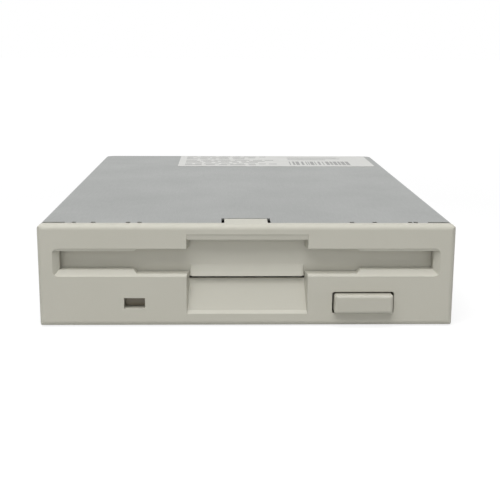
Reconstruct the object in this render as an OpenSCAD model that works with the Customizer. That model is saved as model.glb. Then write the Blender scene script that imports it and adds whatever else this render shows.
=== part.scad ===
// 3.5-inch floppy disk drive, one inch high, standing on its bottom screw plane.
// The bezel faces -Y, the connectors face +Y. Inside the modules y is measured back from the bezel's face
// and z up from the bottom; place() then moves the origin to the middle of the bottom screw pattern.

/* [Envelope] */
// Width of the front bezel
bezel_w = 101.6; // [101.2:0.1:104]
// Height from the bottom screw plane to the top of the cover
drive_h = 25.4; // [25.2:0.1:28]
// Depth of the bezel behind its face
bezel_d = 3.3; // [3:0.1:3.8]
// Distance from the bezel's face to the seam with the cover
seam_y = 2.25; // [1.8:0.05:2.7]
// Step from the bezel's side in to the cover's side
cover_step = 0.3; // [0:0.05:0.6]
// Room from the head carriage's rear face back to the cover's rear edge
rear_room = 7.5; // [7:0.1:14]
// Sheet thickness of the top cover
cover_t = 0.6; // [0.4:0.1:0.8]
// Outside bend radius of the cover's long edges
cover_bend = 1.2; // [1:0.1:2]
// Height of the lower edge of the cover's sides
cover_skirt_z = 11; // [9:0.5:14]
// Plan radius of the cover's rear corners
cover_corner_r = 4; // [2:0.5:6]
// Height of the cover's folded rear apron
apron_h = 9; // [4:0.5:11]

/* [Bezel] */
// Radius of the bezel's upper corners
bezel_top_r = 1.5; // [0.6:0.1:2]
// Radius of the bezel's lower corners
bezel_low_r = 0.9; // [0.4:0.1:1.5]
// Fillet round the bezel's front edge
bezel_edge_r = 1.3; // [0.3:0.1:1.6]
// Width of plastic left on each side of the disk slot
slot_margin = 5.1; // [4.8:0.1:5.3]
// Height of the disk slot behind its lead-in
slot_h = 4.8; // [4.6:0.1:5]
// Height of the slot's lower edge behind its lead-in
slot_z = 14; // [13.8:0.1:14.1]
// Flare of the slot's lead-in, below and at both ends
slot_flare = 1.5; // [0.6:0.1:1.6]
// Height of the shallow set-back over the slot
slot_brow = 0.6; // [0.4:0.1:0.8]
// Width of the slot's taller middle part
slot_mid_w = 53.8; // [40:0.2:70]
// Extra depth of the middle part below the slot's lower edge
slot_mid_drop = 0.9; // [0.5:0.1:1.1]
// Width of the finger notch and the scoop under it
notch_w = 29.6; // [24:0.2:34]
// Height of plastic left above the finger notch at the face
notch_margin = 2.5; // [2.2:0.1:3.8]
// Height of the scoop's lower lip
scoop_z = 3.1; // [2.6:0.1:5]
// Depth of the scoop where it meets the slot
scoop_d = 3.6; // [3:0.1:4]
// Width of the tab on top of the bezel
tab_w = 10.6; // [8:0.2:14]
// Distance from the face to the tab's rear edge
tab_rear = 7.7; // [6:0.1:9]
// Gap round the tab in the cover's notch
tab_gap = 0.7; // [0.2:0.05:0.8]
// Wall behind the scoop
scoop_wall = 1; // [0.8:0.1:1.2]

/* [Button and lamp] */
// Width of the eject button
button_w = 14.4; // [12:0.1:15]
// Height of the eject button
button_h = 4.7; // [4.4:0.1:5.2]
// Distance of the button's middle in from the bezel's right side
button_side = 22.3; // [21.3:0.1:23.8]
// Height of the button's middle
button_z = 5.85; // [5.6:0.05:6.1]
// How far the button stands out at rest
button_out = 2; // [1:0.1:3]
// Gap round the button in the bezel
button_gap = 0.4; // [0.3:0.05:0.6]
// Width of the lamp window
lamp_w = 5.1; // [3.5:0.1:6]
// Height of the lamp window
lamp_h = 2.6; // [1.8:0.02:3]
// Distance of the lamp's middle in from the bezel's left side
lamp_side = 23.25; // [19.75:0.1:25.75]
// Height of the lamp's middle
lamp_z = 5.8; // [5.4:0.1:6.4]

/* [Travel] */
// Forward travel of the slide plate and button when a disk loads
slide_travel = 4.5; // [3.6:0.1:4.8]
// Drop of the disk holder when a disk loads
holder_drop = 2.6; // [2.2:0.1:2.7]
// Travel of the head carriage from track zero to the innermost track
head_travel = 14.8; // [12:0.1:15]
// Lift of the upper head arm with the drive empty, in degrees
arm_lift = 9; // [8.6:0.1:9.4]
// Travel of the sensing plungers
plunger_travel = 1; // [0.6:0.1:1.2]

/* [Bay and spindle] */
// Distance from the bezel's face to the spindle
spindle_y = 56; // [55.6:0.1:56.2]
// Distance from the spindle to the head at track zero
track_zero_r = 39.5; // [39:0.1:40]
// Clear height of the disk holder
bay_h = 4.2; // [4:0.1:4.6]
// Height of the holder's lips with the drive empty
bay_z = 14; // [13.8:0.1:14.2]
// Sheet thickness of the holder
holder_t = 0.8; // [0.6:0.1:0.9]
// Sheet thickness of the slide plate
slide_t = 0.8; // [0.6:0.1:0.9]
// Radius of the holder's guide pins
guide_pin_r = 1; // [0.8:0.1:1.2]
// Radius of the spindle hub
hub_r = 11.8; // [11.4:0.1:12.4]
// Height of the hub's disk seat
hub_top = 11.5; // [11.2:0.1:11.7]
// Radius of the motor rotor
rotor_r = 23; // [21:0.5:24]
// Radius of the spindle shaft
shaft_r = 1.5; // [1.2:0.1:2]

/* [Frame and mounts] */
// Wall thickness of the frame's sides
frame_wall = 1.2; // [1:0.1:1.4]
// Thickness of the frame's floor
floor_t = 1.2; // [0.8:0.1:1.2]
// Height of the floor's underside
floor_z = 7.6; // [7.5:0.1:7.7]
// Distance of the bottom screw holes in from the frame's sides
screw_in = 2.025; // [1.85:0.025:2.35]
// Spacing of the bottom and side screw holes along the drive
screw_span_y = 90; // [60:1:92]
// Distance from the bezel's face to the first bottom screw holes
bottom_hole_y = 31; // [30:0.5:33]
// Distance from the bezel's face to the first side screw holes
side_hole_y = 24.3; // [23.5:0.1:25.5]
// Height of the side screw holes
side_hole_z = 5; // [4:0.1:5.4]
// Radius of the tapped screw holes
screw_hole_r = 1.25; // [1.2:0.05:1.5]
// Depth of the tapped screw holes
screw_hole_depth = 5; // [4:0.2:5.4]

/* [Boards and connectors] */
// Thickness of the circuit boards
board_t = 1.6; // [1:0.1:1.7]
// Height of the boards' underside
board_z = 1.6; // [1.5:0.1:1.7]
// Contact pitch of both connectors
pin_pitch = 2.54; // [2:0.02:2.54]
// Contacts in each row of the data connector
data_columns = 17; // [13:1:17]
// Contacts in the power connector
power_columns = 4; // [2:1:4]
// Width of a square contact pin
pin_w = 0.64; // [0.5:0.02:0.8]
// How far the contact pins stand out behind the cover
pin_out = 4.5; // [3:0.5:7]
// Distance of the data connector's middle in from the frame's right wall
data_side = 25.85; // [25.45:0.1:26.05]
// Distance of the power connector's middle in from the frame's left wall
power_side = 10.45; // [10.25:0.1:10.85]

/* [Head drive] */
// Distance from the head to the upper arm's pivot
arm_len = 31.5; // [31:0.1:32]
// Radius of the carriage's guide rod
rod_r = 1.5; // [1.2:0.1:1.6]
// Distance of the guide rod to the right of the centre line
rod_x = 16; // [15.5:0.1:17]
// Height of the guide rod
rod_z = 7; // [6.8:0.1:7.2]
// Radius of the lead screw
lead_r = 1.5; // [1.2:0.1:1.8]
// Distance of the lead screw in from the frame's left wall
lead_side = 24.45; // [24.05:0.1:25.45]
// Height of the lead screw
lead_z = 14.2; // [14:0.1:14.6]
// Radius of the stepper motor
stepper_r = 9; // [7:0.5:9]
// Length of the stepper motor
stepper_l = 10.5; // [8:0.5:10.8]

/* [Clearances] */
// Radial clearance of pins and shafts that turn or slide in bores
run_gap = 0.05; // [0.02:0.01:0.08]
// Radial clearance of seated pins and screws
seat_gap = 0.03; // [0.02:0.01:0.05]
// Gap between sheets that slide past each other
slip_gap = 0.25; // [0.15:0.05:0.3]

/* [Hidden] */
$fn = 48;
origin_y = bottom_hole_y + screw_span_y / 2;
eps = 0.01;
over = 1;

bezel_grey = [0.69, 0.68, 0.63];
zinc = [0.69, 0.70, 0.69];
steel = [0.75, 0.75, 0.76];
dark_steel = [0.42, 0.43, 0.45];
cast_grey = [0.62, 0.63, 0.63];
black_plastic = [0.10, 0.10, 0.11];
white_plastic = [0.88, 0.87, 0.82];
board_green = [0.10, 0.33, 0.20];
copper = [0.72, 0.40, 0.22];
gold = [0.83, 0.68, 0.33];
ferrite = [0.20, 0.19, 0.20];
label_white = [0.82, 0.82, 0.81];
lamp_amber = [0.55, 0.50, 0.22];
flex_amber = [0.72, 0.45, 0.14];

// Half widths of the nested shells, from the cover inwards
cover_x = bezel_w / 2 - cover_step;
frame_x = cover_x - cover_t - slip_gap;
frame_in = frame_x - frame_wall;
slide_x = frame_in - 2 * slip_gap;
slide_in = slide_x - slide_t;
holder_x = slide_in - 3 * slip_gap;
bay_x = holder_x - holder_t;
screw_span_x = 2 * (frame_x - screw_in);
data_x = frame_in - data_side;
power_x = frame_in - power_side;
lead_x = frame_in - lead_side;

// Levels
floor_top = floor_z + floor_t;
slide_z = floor_top + slip_gap;
slide_top = slide_z + slide_t;
board_top = board_z + board_t;
frame_top = drive_h - cover_t - slip_gap;
holder_top = bay_z + bay_h + holder_t;
lip_w = 3;

// Bezel
slot_w = bezel_w - 2 * slot_margin;
slot_top = slot_z + slot_h;
notch_top = drive_h - notch_margin;
button_x = bezel_w / 2 - button_side;
lamp_x = bezel_w / 2 - lamp_side;
slot_mid_rise = slot_brow - 0.1;
brow_step = 0.1;
brow_in = 0.25;
notch_x = notch_w / 2;
notch_brow = 1.3;
notch_draft = 0.6;
scoop_top = slot_z - 2.7;
scoop_lip = 0.75;
button_y1 = 9;
button_r = 0.6;
button_edge_r = 0.75;
button_lo = [button_x - button_w / 2, button_z - button_h / 2];
button_hi = [button_x + button_w / 2, button_z + button_h / 2];
rebate_z = drive_h - cover_t - 0.15;
tab_t = 0.7;
tab_x = -0.3;
lamp_in = 2.7;
clip_t = 1.4;
clip_z = [15, 18.6];
clip_y = [9, 11];
clip_x = frame_in - slip_gap;

// Dust flap
flap_gap = 0.4;
flap_t = 1;
flap_y = bezel_d + flap_gap;
flap_barrel_r = 1.1;
flap_pin_r = 0.5;
flap_pin_y = flap_y + flap_barrel_r;
flap_pin_z = slot_top + 1.9;
flap_low = scoop_top + 0.5;
flap_x = slot_w / 2 + 0.5;
flap_mid_x = notch_x - notch_draft - 0.15;
flap_ear_t = 1.6;
flap_ear_x = flap_x + 0.4;
flap_bulge = 1.2;
flap_bulge_z = slot_z + 0.6;
flap_toe = 0.5;
flap_mid_ease = 0.8;
flap_spring_side = 14.3;
flap_spring_x = flap_x - flap_spring_side;
flap_spring_l = 4;

// Head carriage; the rear block carries the arm's pivot behind the disk
head_y = spindle_y + track_zero_r;
pivot_y = head_y + arm_len;
pivot_z = 15.8;
block_y0 = pivot_y - 8;
block_y1 = pivot_y + 3.5;
cover_rear = block_y1 + rear_room;
block_x = 10;
carriage_z = floor_top + 0.2;
low_arm_top = 11;
head_gap = 0.15;
lower_head_top = 13.1;
sleeve_y = [pivot_y - 15, pivot_y - 4];
sleeve_r = rod_r + 1.5;
rod_y = [sleeve_y[0] - head_travel - 6.2, pivot_y - 1];
rod_seat_l = 2.6;
flag_side = 2.81;
flag_x = data_x - data_columns * pin_pitch / 2 - flag_side;
follower_y = pivot_y - 5;
follower_r = 0.6;
pivot_pin_r = 0.8;
arm_t = 1.2;
arm_z = pivot_z - arm_t / 2;
arm_x = 6.5;
wing_d = 17.2;
wing_y = [pivot_y - wing_d - 0.8, pivot_y - wing_d + 0.8];
wing_z = pivot_z + 0.9;

// Disk holder, behind the flap's swing and ahead of the carriage's rear block
flap_reach = norm([flap_barrel_r + flap_bulge, flap_pin_z - flap_low]);
holder_y0 = flap_pin_y + flap_reach + 0.6;
holder_y1 = block_y0 - head_travel - 0.7;
rail_x = [11.8, 15];
rail_y1 = pivot_y - wing_d + 2;
arm_window_x = 11;
arm_window_y = head_y - head_travel - 8;
pin_front = 32;
pin_rear = 15.5;
pin_y = [pin_front, holder_y1 - pin_rear];
pin_z = bay_z + 2.6;

// Slide plate
slide_y0 = 22.3;
slide_rear = 3.5;
slide_y1 = holder_y1 - slide_rear;
tongue_w = 8.4;
tongue_x = [button_x - tongue_w / 2, button_x + tongue_w / 2];
tongue_y0 = 1.2;
tongue_z = button_z - slide_t / 2;
hub_hole_r = hub_r + 1.4;
slide_gap_x = 20.5;
slide_gap_y = spindle_y + 10;

// Shutter and latch lever, on top of the holder
lever_side = 7.9;
lever_rear = 9.5;
lever_at = [holder_x - lever_side, holder_y1 - lever_rear];
lever_t = 0.8;
lever_z = holder_top + slip_gap;
lever_r = 20;
lever_a = 230;
lever_swing = 40;
lever_pin_r = 1.5;
lever_tab_r = 1;
heel_r = 7;
latch_x = lever_at[0] + 6;
latch_y = lever_at[1] + 2.6;

// Spindle motor
rotor_z = [board_top + 0.9, floor_z - 0.3];
rotor_t = 0.8;
magnet_t = 2;
bush_r = 4;
stator_r = rotor_r - rotor_t - magnet_t - 1;
stator_teeth = 9;
stator_z = [board_top + 1.1, board_top + 2.1];
drive_pin_d = 9.8;
drive_pin_r = 1;
chuck_r = [4.6, 8];
chuck_h = 1;

// Boards
boss_w = 3.6;
boss_in = screw_span_x / 2 - boss_w;
board_x = boss_in - 0.5;
motor_board_y = [9.5, holder_y1 - pin_rear];
main_board_y = [motor_board_y[1] + 3, cover_rear - 1.5];
board_boss_r = 2.6;
board_screw_r = 1;
board_head_r = 2.2;
board_head_h = 1.2;
board_edge = 5;
board_side = 4.525;
board_front = 18.5;
board_rear = 15.5;
board_screws_x = board_x - board_side;
board_screws_y = [motor_board_y[0] + board_front, motor_board_y[1] - board_edge,
                  main_board_y[0] + board_edge, main_board_y[1] - board_rear];
board_screws_at = [for (x = [-1, 1], y = board_screws_y) [x * board_screws_x, y]];

// Rear connectors
row_up = 1.7;
row_z = [board_top + row_up, board_top + row_up + pin_pitch];
base_end = 0.4;
data_len = data_columns * pin_pitch;
base_y = [cover_rear - 5.2, cover_rear - 2.6];
pin_tip_y = cover_rear + pin_out;
power_len = power_columns * pin_pitch;
power_z = board_top + 2.4;

// Stepper and its bracket
bracket_t = 1;
bracket_y0 = holder_y1 + 0.8;
bracket_y1 = follower_y + 2;
bracket_x = [-lead_x - 10.4, -lead_x + 7.6];
bracket_z = [floor_top, lead_z + 5.4];
stepper_y = bracket_y1 + bracket_t;
foot_x = bracket_x[0] - 9;
foot_top = bracket_z[0] + bracket_t;
bracket_screws_at = [for (y = [bracket_y0 + 3.5, bracket_y0 + 11]) [foot_x + 4.4, y]];
bracket_screw_r = 1;

// Sensing switches at the front, on the motor board
switch_y = 14;
switch_size = 6;
switch_cut = switch_size / 2 + 0.4;
switch_top = 9.4;
plunger_r = 0.9;
plunger_top = bay_z - holder_drop + plunger_travel;
switch_side = 5.6;
switch_step = 7.5;
switch_xs = [bay_x - switch_side, switch_side - bay_x, switch_side + switch_step - bay_x];

// Slide springs, below the floor
spring_side = 15.95;
spring_x = frame_in - spring_side;
spring_z = 5.4;
spring_r = 1.4;
spring_y = [30, 47];

// Shared shapes

module place() translate([0, -origin_y, 0]) children();

module both_sides() {
  children();
  mirror([1, 0, 0]) children();
}

module block(lo, hi) translate(lo) cube(hi - lo);

module post(at, r, z0, z1) translate([at[0], at[1], z0]) cylinder(r = r, h = z1 - z0);

module bar_x(x0, x1, y, z, r) translate([x0, y, z]) rotate([0, 90, 0]) cylinder(r = r, h = x1 - x0);

module bar_y(y0, y1, x, z, r) translate([x, y0, z]) rotate([-90, 0, 0]) cylinder(r = r, h = y1 - y0);

// A face drawn in x and z, run from y0 to y1
module along_y(y0, y1) translate([0, y1, 0]) rotate([90, 0, 0]) linear_extrude(y1 - y0) children();

// A side drawn in y and z, run from x0 to x1
module along_x(x0, x1) translate([x0, 0, 0]) rotate([90, 0, 90]) linear_extrude(x1 - x0) children();

module up_z(z0, z1) translate([0, 0, z0]) linear_extrude(z1 - z0) children();

// A rectangle with its own radius on the low and the high pair of corners
module rounded(lo, hi, r_low, r_high) {
  translate([lo[0], lo[1] + r_low]) square([hi[0] - lo[0], hi[1] - lo[1] - r_low - r_high]);
  translate([lo[0] + r_low, lo[1]]) square([hi[0] - lo[0] - 2 * r_low, r_low + eps]);
  translate([lo[0] + r_high, hi[1] - r_high - eps]) square([hi[0] - lo[0] - 2 * r_high, r_high + eps]);
  for (x = [lo[0] + r_low, hi[0] - r_low]) translate([x, lo[1] + r_low]) circle(r_low);
  for (x = [lo[0] + r_high, hi[0] - r_high]) translate([x, hi[1] - r_high]) circle(r_high);
}

// A slot with round ends between two points
module slot_between(a, b, r) {
  d = b - a;
  translate(a) circle(r);
  translate(b) circle(r);
  translate(a) rotate(atan2(d[1], d[0])) translate([0, -r]) square([norm(d), 2 * r]);
}

// The bezel, its dust flap, the button and the lamp

// A block with rounded face corners and a fillet round its front edge
module fronted(lo, hi, y0, y1, r_low, r_high, edge) intersection() {
  along_y(y0, y1) rounded(lo, hi, r_low, r_high);
  along_x(lo[0], hi[0]) rounded_front(y0, y1, lo[1], hi[1], edge);
  up_z(lo[1], hi[1]) mirror_xy() rounded_front(y0, y1, lo[0], hi[0], edge);
}

module mirror_xy() mirror([1, -1, 0]) children();

// A rectangle from depth y0 to y1 whose two corners at y0 are round
module rounded_front(y0, y1, s0, s1, r) {
  translate([y0 + r, s0]) square([y1 - y0 - r, s1 - s0]);
  translate([y0, s0 + r]) square([r + eps, s1 - s0 - 2 * r]);
  for (s = [s0 + r, s1 - r]) translate([y0 + r, s]) circle(r);
}

// The flared mouth of the disk slot
module slot_mouth() intersection() {
  face_x = slot_w / 2 + slot_flare;
  low = slot_z - slot_flare;
  high = slot_top + slot_brow;
  along_x(-bezel_w, bezel_w) polygon([
    [-over, low], [0, low], [slot_flare, slot_z], [slot_flare, slot_top],
    [brow_in, slot_top], [brow_step, high], [-over, high]]);
  up_z(0, drive_h) polygon([
    [-face_x, -over], [-face_x, 0], [-slot_w / 2, slot_flare],
    [slot_w / 2, slot_flare], [face_x, 0], [face_x, -over]]);
  along_y(-over, bezel_d) rounded([-face_x, low], [face_x, high], slot_flare, slot_flare);
}

module slot_middle() {
  half = slot_mid_w / 2;
  low = slot_z - slot_mid_drop;
  high = slot_top + slot_mid_rise;
  along_y(-over, bezel_d + over) polygon([
    [-half - slot_mid_drop, slot_z], [-half, low], [half, low], [half + slot_mid_drop, slot_z],
    [half + slot_mid_rise, slot_top], [half, high], [-half, high], [-half - slot_mid_rise, slot_top]]);
}

module finger_notch() intersection() {
  along_x(-notch_x, notch_x) polygon([
    [-over, scoop_top], [bezel_d + over, scoop_top], [bezel_d + over, notch_top - notch_brow],
    [brow_in, notch_top - notch_brow], [brow_step, notch_top], [-over, notch_top]]);
  drafted_sides();
}

// Plan of the notch and scoop, whose sides close in towards the back
module drafted_sides() {
  rear = scoop_d + over;
  rear_x = notch_x - notch_draft * rear / bezel_d;
  up_z(0, drive_h) polygon([
    [-notch_x, -over], [-notch_x, 0], [-rear_x, rear], [rear_x, rear], [notch_x, 0], [notch_x, -over]]);
}

module finger_scoop() intersection() {
  along_x(-notch_x, notch_x) polygon([
    [-over, scoop_z], [0, scoop_z], [scoop_lip, scoop_z + scoop_lip],
    [scoop_d, scoop_top], [scoop_d, slot_z], [-over, slot_z]]);
  drafted_sides();
}

module flap_ear() difference() {
  block([flap_ear_x, bezel_d - eps, flap_pin_z - 1.6],
        [flap_ear_x + flap_ear_t, flap_pin_y + 1.5, flap_pin_z + 1.3]);
  bar_x(flap_ear_x - over, flap_ear_x + flap_ear_t + over, flap_pin_y, flap_pin_z, flap_pin_r + seat_gap);
}

// A spring arm whose nose snaps into a window of the frame's side
module bezel_clip() {
  block([clip_x - clip_t, bezel_d - eps, clip_z[0]], [clip_x, clip_y[1], clip_z[1]]);
  up_z(clip_z[0], clip_z[1]) polygon([
    [clip_x - eps, clip_y[0]], [clip_x + 0.9, clip_y[0]], [clip_x + 0.9, clip_y[0] + 0.4],
    [clip_x, clip_y[1]], [clip_x - eps, clip_y[1]]]);
}

module front_bezel() color(bezel_grey) place() {
  difference() {
    union() {
      fronted([-bezel_w / 2, 0], [bezel_w / 2, drive_h], 0, bezel_d, bezel_low_r, bezel_top_r, bezel_edge_r);
      block([-notch_x - scoop_wall, bezel_d - eps, scoop_z - scoop_wall],
            [notch_x + scoop_wall, scoop_d + scoop_wall, scoop_top]);
    }
    slot_mouth();
    along_y(-over, bezel_d + over) translate([-slot_w / 2, slot_z]) square([slot_w, slot_h]);
    slot_middle();
    finger_notch();
    finger_scoop();
    block([-bezel_w, seam_y, rebate_z], [bezel_w, bezel_d + over, drive_h + over]);
    along_y(-over, bezel_d + over)
      translate([-lamp_x - lamp_w / 2, lamp_z - lamp_h / 2]) square([lamp_w, lamp_h]);
    along_y(-over, bezel_d + over)
      rounded(button_lo - button_gap * [1, 1], button_hi + button_gap * [1, 1], button_r, button_r);
  }
  block([tab_x - tab_w / 2, seam_y - eps, rebate_z - tab_t], [tab_x + tab_w / 2, tab_rear, drive_h]);
  both_sides() flap_ear();
  both_sides() bezel_clip();
}

module flap_side() {
  translate([flap_y, flap_low]) square([flap_t, flap_pin_z - flap_low]);
  translate([flap_pin_y, flap_pin_z]) circle(flap_barrel_r);
}

// Swollen middle of the flap, eased at its ends and along its toe
module flap_middle() intersection() {
  front = flap_y - flap_bulge;
  back = flap_y + flap_t;
  ease_x = flap_mid_x - flap_mid_ease;
  ease_y = front + flap_mid_ease;
  along_x(-flap_mid_x, flap_mid_x) polygon([
    [front, flap_low + flap_toe], [front + flap_toe, flap_low], [back, flap_low],
    [back, flap_bulge_z], [flap_y, flap_bulge_z]]);
  up_z(0, drive_h) polygon([
    [-flap_mid_x, back], [-flap_mid_x, ease_y], [-ease_x, front],
    [ease_x, front], [flap_mid_x, ease_y], [flap_mid_x, back]]);
}

module dust_flap() color(bezel_grey * 0.9) place() difference() {
  union() {
    along_x(-flap_x, flap_x) flap_side();
    flap_middle();
  }
  bar_x(-flap_x - over, flap_x + over, flap_pin_y, flap_pin_z, flap_pin_r + run_gap);
  block([flap_spring_x, flap_y - over, flap_pin_z - flap_barrel_r - 0.3],
        [flap_spring_x + flap_spring_l, flap_pin_y + 2, flap_pin_z + 2]);
}

module flap_pin() color(steel) place()
  bar_x(-flap_ear_x - flap_ear_t, flap_ear_x + flap_ear_t, flap_pin_y, flap_pin_z, flap_pin_r);

// Coil on the pin with one leg along the flap's back
module flap_spring() color(steel) place() {
  wire = 0.3;
  leg_x = flap_spring_x + flap_spring_l - 0.8;
  difference() {
    bar_x(flap_spring_x + 0.3, flap_spring_x + flap_spring_l - 0.3, flap_pin_y, flap_pin_z,
          flap_barrel_r - 0.1);
    bar_x(flap_spring_x, flap_spring_x + flap_spring_l, flap_pin_y, flap_pin_z, flap_pin_r + 2 * run_gap);
  }
  block([leg_x, flap_y + flap_t, flap_low + 2], [leg_x + wire, flap_y + flap_t + wire, flap_pin_z - 0.7]);
}

module eject_button() color(bezel_grey) place() difference() {
  union() {
    fronted(button_lo, button_hi, -button_out, bezel_d, button_r, button_r, button_edge_r);
    block([tongue_x[0] - 1.6, bezel_d - eps, button_z - 1.8], [tongue_x[1] + 1.6, button_y1, button_z + 1.8]);
  }
  block([tongue_x[0] - seat_gap, tongue_y0 - 0.2, tongue_z - seat_gap],
        [tongue_x[1] + seat_gap, button_y1 + over, tongue_z + slide_t + seat_gap]);
}

// Lamp body behind the window, with its two legs down to the motor board
module activity_lamp() color(lamp_amber) place() {
  fit = 0.1;
  leg_w = 0.5;
  lens_y1 = bezel_d + 4.6;
  foot_y = motor_board_y[0] + 2;
  block([-lamp_x - lamp_w / 2 + fit, lamp_in, lamp_z - lamp_h / 2 + fit],
        [-lamp_x + lamp_w / 2 - fit, lens_y1, lamp_z + lamp_h / 2 - fit]);
  for (x = [-lamp_x - pin_pitch / 2, -lamp_x + pin_pitch / 2]) {
    block([x - leg_w / 2, lens_y1 - eps, lamp_z - leg_w / 2], [x + leg_w / 2, foot_y, lamp_z + leg_w / 2]);
    block([x - leg_w / 2, foot_y - leg_w, board_top], [x + leg_w / 2, foot_y, lamp_z]);
  }
}

// Cover and frame

seam_gap = 0.15;
cover_y0 = seam_y + seam_gap;
skirt_y0 = bezel_d + seam_gap;
cover_tail = 6;
lance_rear = 8.5;
lance_y = [45, holder_y1 - lance_rear];
lance_drop = 3.6;
lance_h = 1.6;
lance_z = [drive_h - lance_drop - lance_h, drive_h - lance_drop];
lance_in = 0.7;
lance_half = 1.8;
relief_u = [-0.834, -0.741, -0.574, -0.519, 0.507, 0.618, 0.79, 0.818];
relief_x = [for (u = relief_u) u * cover_x];
relief_w = 1.1;
relief_d = 1.3;
corner_w = 6.2;
corner_d = 1.1;

// Inverted channel section, open at the bottom, with bent upper edges
module channel(x, low, top, r) {
  translate([-x, low]) square([2 * x, top - r - low]);
  translate([r - x, top - r - eps]) square([2 * (x - r), r + eps]);
  for (s = [-1, 1]) translate([s * (x - r), top - r]) circle(r);
}

module cover_plan() {
  r = cover_corner_r;
  translate([-cover_x, cover_y0]) square([2 * cover_x, cover_rear - r - cover_y0]);
  translate([r - cover_x, cover_rear - r - eps]) square([2 * (cover_x - r), r + eps]);
  for (s = [-1, 1]) translate([s * (cover_x - r), cover_rear - r]) circle(r);
}

module cover_sheet() difference() {
  along_y(cover_y0, cover_rear) difference() {
    channel(cover_x, cover_skirt_z, drive_h, cover_bend);
    channel(cover_x - cover_t, cover_skirt_z - over, drive_h - cover_t, cover_bend - cover_t);
  }
  block([-bezel_w, cover_rear - cover_tail, 0], [bezel_w, cover_rear + over, drive_h - cover_t]);
  block([-bezel_w, 0, 0], [bezel_w, skirt_y0, drive_h - cover_t]);
}

module top_cover() color(zinc) place() {
  difference() {
    intersection() {
      cover_sheet();
      up_z(0, drive_h + over) cover_plan();
    }
    block([tab_x - tab_w / 2 - tab_gap, 0, drive_h / 2],
          [tab_x + tab_w / 2 + tab_gap, tab_rear + tab_gap, drive_h + over]);
    for (x = relief_x)
      block([x - relief_w / 2, 0, drive_h / 2], [x + relief_w / 2, cover_y0 + relief_d, drive_h + over]);
    both_sides()
      block([cover_x - corner_w, 0, drive_h / 2], [bezel_w, cover_y0 + corner_d, drive_h + over]);
  }
  apron_x = cover_x - cover_corner_r - 1;
  block([-apron_x, cover_rear - cover_t, drive_h - apron_h], [apron_x, cover_rear, drive_h - cover_t + eps]);
  both_sides() for (y = lance_y)
    block([cover_x - cover_t - lance_in, y - lance_half, lance_z[0]],
          [cover_x - cover_t + eps, y + lance_half, lance_z[1]]);
}

label_side = 3.1;
label_w = 69.3;
label_l = 29.5;
label_edge = 0.5;
label_x = [cover_x - label_side - label_w, cover_x - label_side];
label_y = [cover_rear - label_edge - label_l, cover_rear - label_edge];
label_t = 0.1;

module rating_label() color(label_white) place()
  block([label_x[0], label_y[0], drive_h], [label_x[1], label_y[1], drive_h + label_t]);

frame_y0 = bezel_d + slip_gap;
frame_y1 = cover_rear - 1.2;
floor_y0 = 10;
floor_y1 = pivot_y + 0.4;
flange_w = 3;
flange_t = 1.2;
boss_margin = 4.5;
guide_play = 0.1;
window_play = 0.35;
flag_slot_half = 3.8;

module frame_shell() {
  both_sides() {
    block([frame_in, frame_y0, 0], [frame_x, frame_y1, frame_top]);
    block([frame_in - flange_w, floor_y0, 0], [frame_in + eps, frame_y1, flange_t]);
    for (dy = [0, screw_span_y])
      block([boss_in, side_hole_y - boss_margin + dy, 0],
            [frame_in + eps, bottom_hole_y + boss_margin + dy, floor_z + eps]);
    post([spring_x, spring_y[0]], 1, spring_z - 1.6, floor_z + eps);
  }
  block([-frame_in - eps, floor_y0, floor_z], [frame_in + eps, floor_y1, floor_top]);
  for (at = board_screws_at) post(at, board_boss_r, board_top, floor_z + eps);
  for (y = [rod_y[0], rod_y[1] - rod_seat_l])
    block([rod_x - rod_r - 2, y, rod_z - rod_r - 1.5], [rod_x + rod_r + 2, y + rod_seat_l, floor_top]);
}

module frame_side_openings() {
  for (y = pin_y)
    along_x(frame_in - over, frame_x + over)
      slot_between([y, pin_z - holder_drop], [y, pin_z], guide_pin_r + guide_play);
  for (y = lance_y)
    block([frame_in - over, y - lance_half - window_play, lance_z[0] - window_play],
          [frame_x + over, y + lance_half + window_play, lance_z[1] + window_play]);
  block([frame_in - over, clip_y[0] - window_play, clip_z[0] - window_play],
        [frame_x + over, clip_y[1] + window_play, clip_z[1] + window_play]);
}

module frame_screw_holes() {
  for (dy = [0, screw_span_y]) {
    post([screw_span_x / 2, bottom_hole_y + dy], screw_hole_r, -over, screw_hole_depth);
    bar_x(frame_x - screw_hole_depth, frame_x + over, side_hole_y + dy, side_hole_z, screw_hole_r);
  }
}

// An opening through the floor
module floor_cut(lo, hi) block([lo[0], lo[1], floor_z - over], [hi[0], hi[1], floor_top + over]);

module floor_openings() {
  post([0, spindle_y], hub_r + 1.2, floor_z - over, floor_top + over);
  floor_cut([tongue_x[0] - 2.2, floor_y0 - over], [tongue_x[1] + 2.2, slide_y0 + 1]);
  for (x = switch_xs)
    floor_cut([x - switch_cut, floor_y0 - over], [x + switch_cut, switch_y + switch_cut]);
  both_sides()
    floor_cut([spring_x - 1.6, spring_y[1] - slide_travel - 1],
              [spring_x + 1.6, spring_y[1] + slide_t + 0.6]);
  floor_cut([rod_x - sleeve_r - 0.8, rod_y[0] + rod_seat_l], [rod_x + sleeve_r + 0.8, rod_y[1] - rod_seat_l]);
  floor_cut([-lead_x - stepper_r - 0.8, bracket_y1 - 0.5], [-lead_x + stepper_r + 0.8, floor_y1 + over]);
  floor_cut([flag_x - flag_slot_half, pivot_y - head_travel - 4], [flag_x + flag_slot_half, floor_y1 + over]);
}

module chassis_frame() color(cast_grey) place() difference() {
  frame_shell();
  both_sides() frame_side_openings();
  both_sides() frame_screw_holes();
  floor_openings();
  bar_y(rod_y[0] - over, rod_y[1] + over, rod_x, rod_z, rod_r + seat_gap);
  for (at = board_screws_at) post(at, board_screw_r + seat_gap, board_top - over, floor_top - 0.5);
  for (at = bracket_screws_at) post(at, bracket_screw_r + seat_gap, floor_z - over, floor_top + over);
}

// Load mechanism: slide plate, disk holder and latch lever

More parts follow.
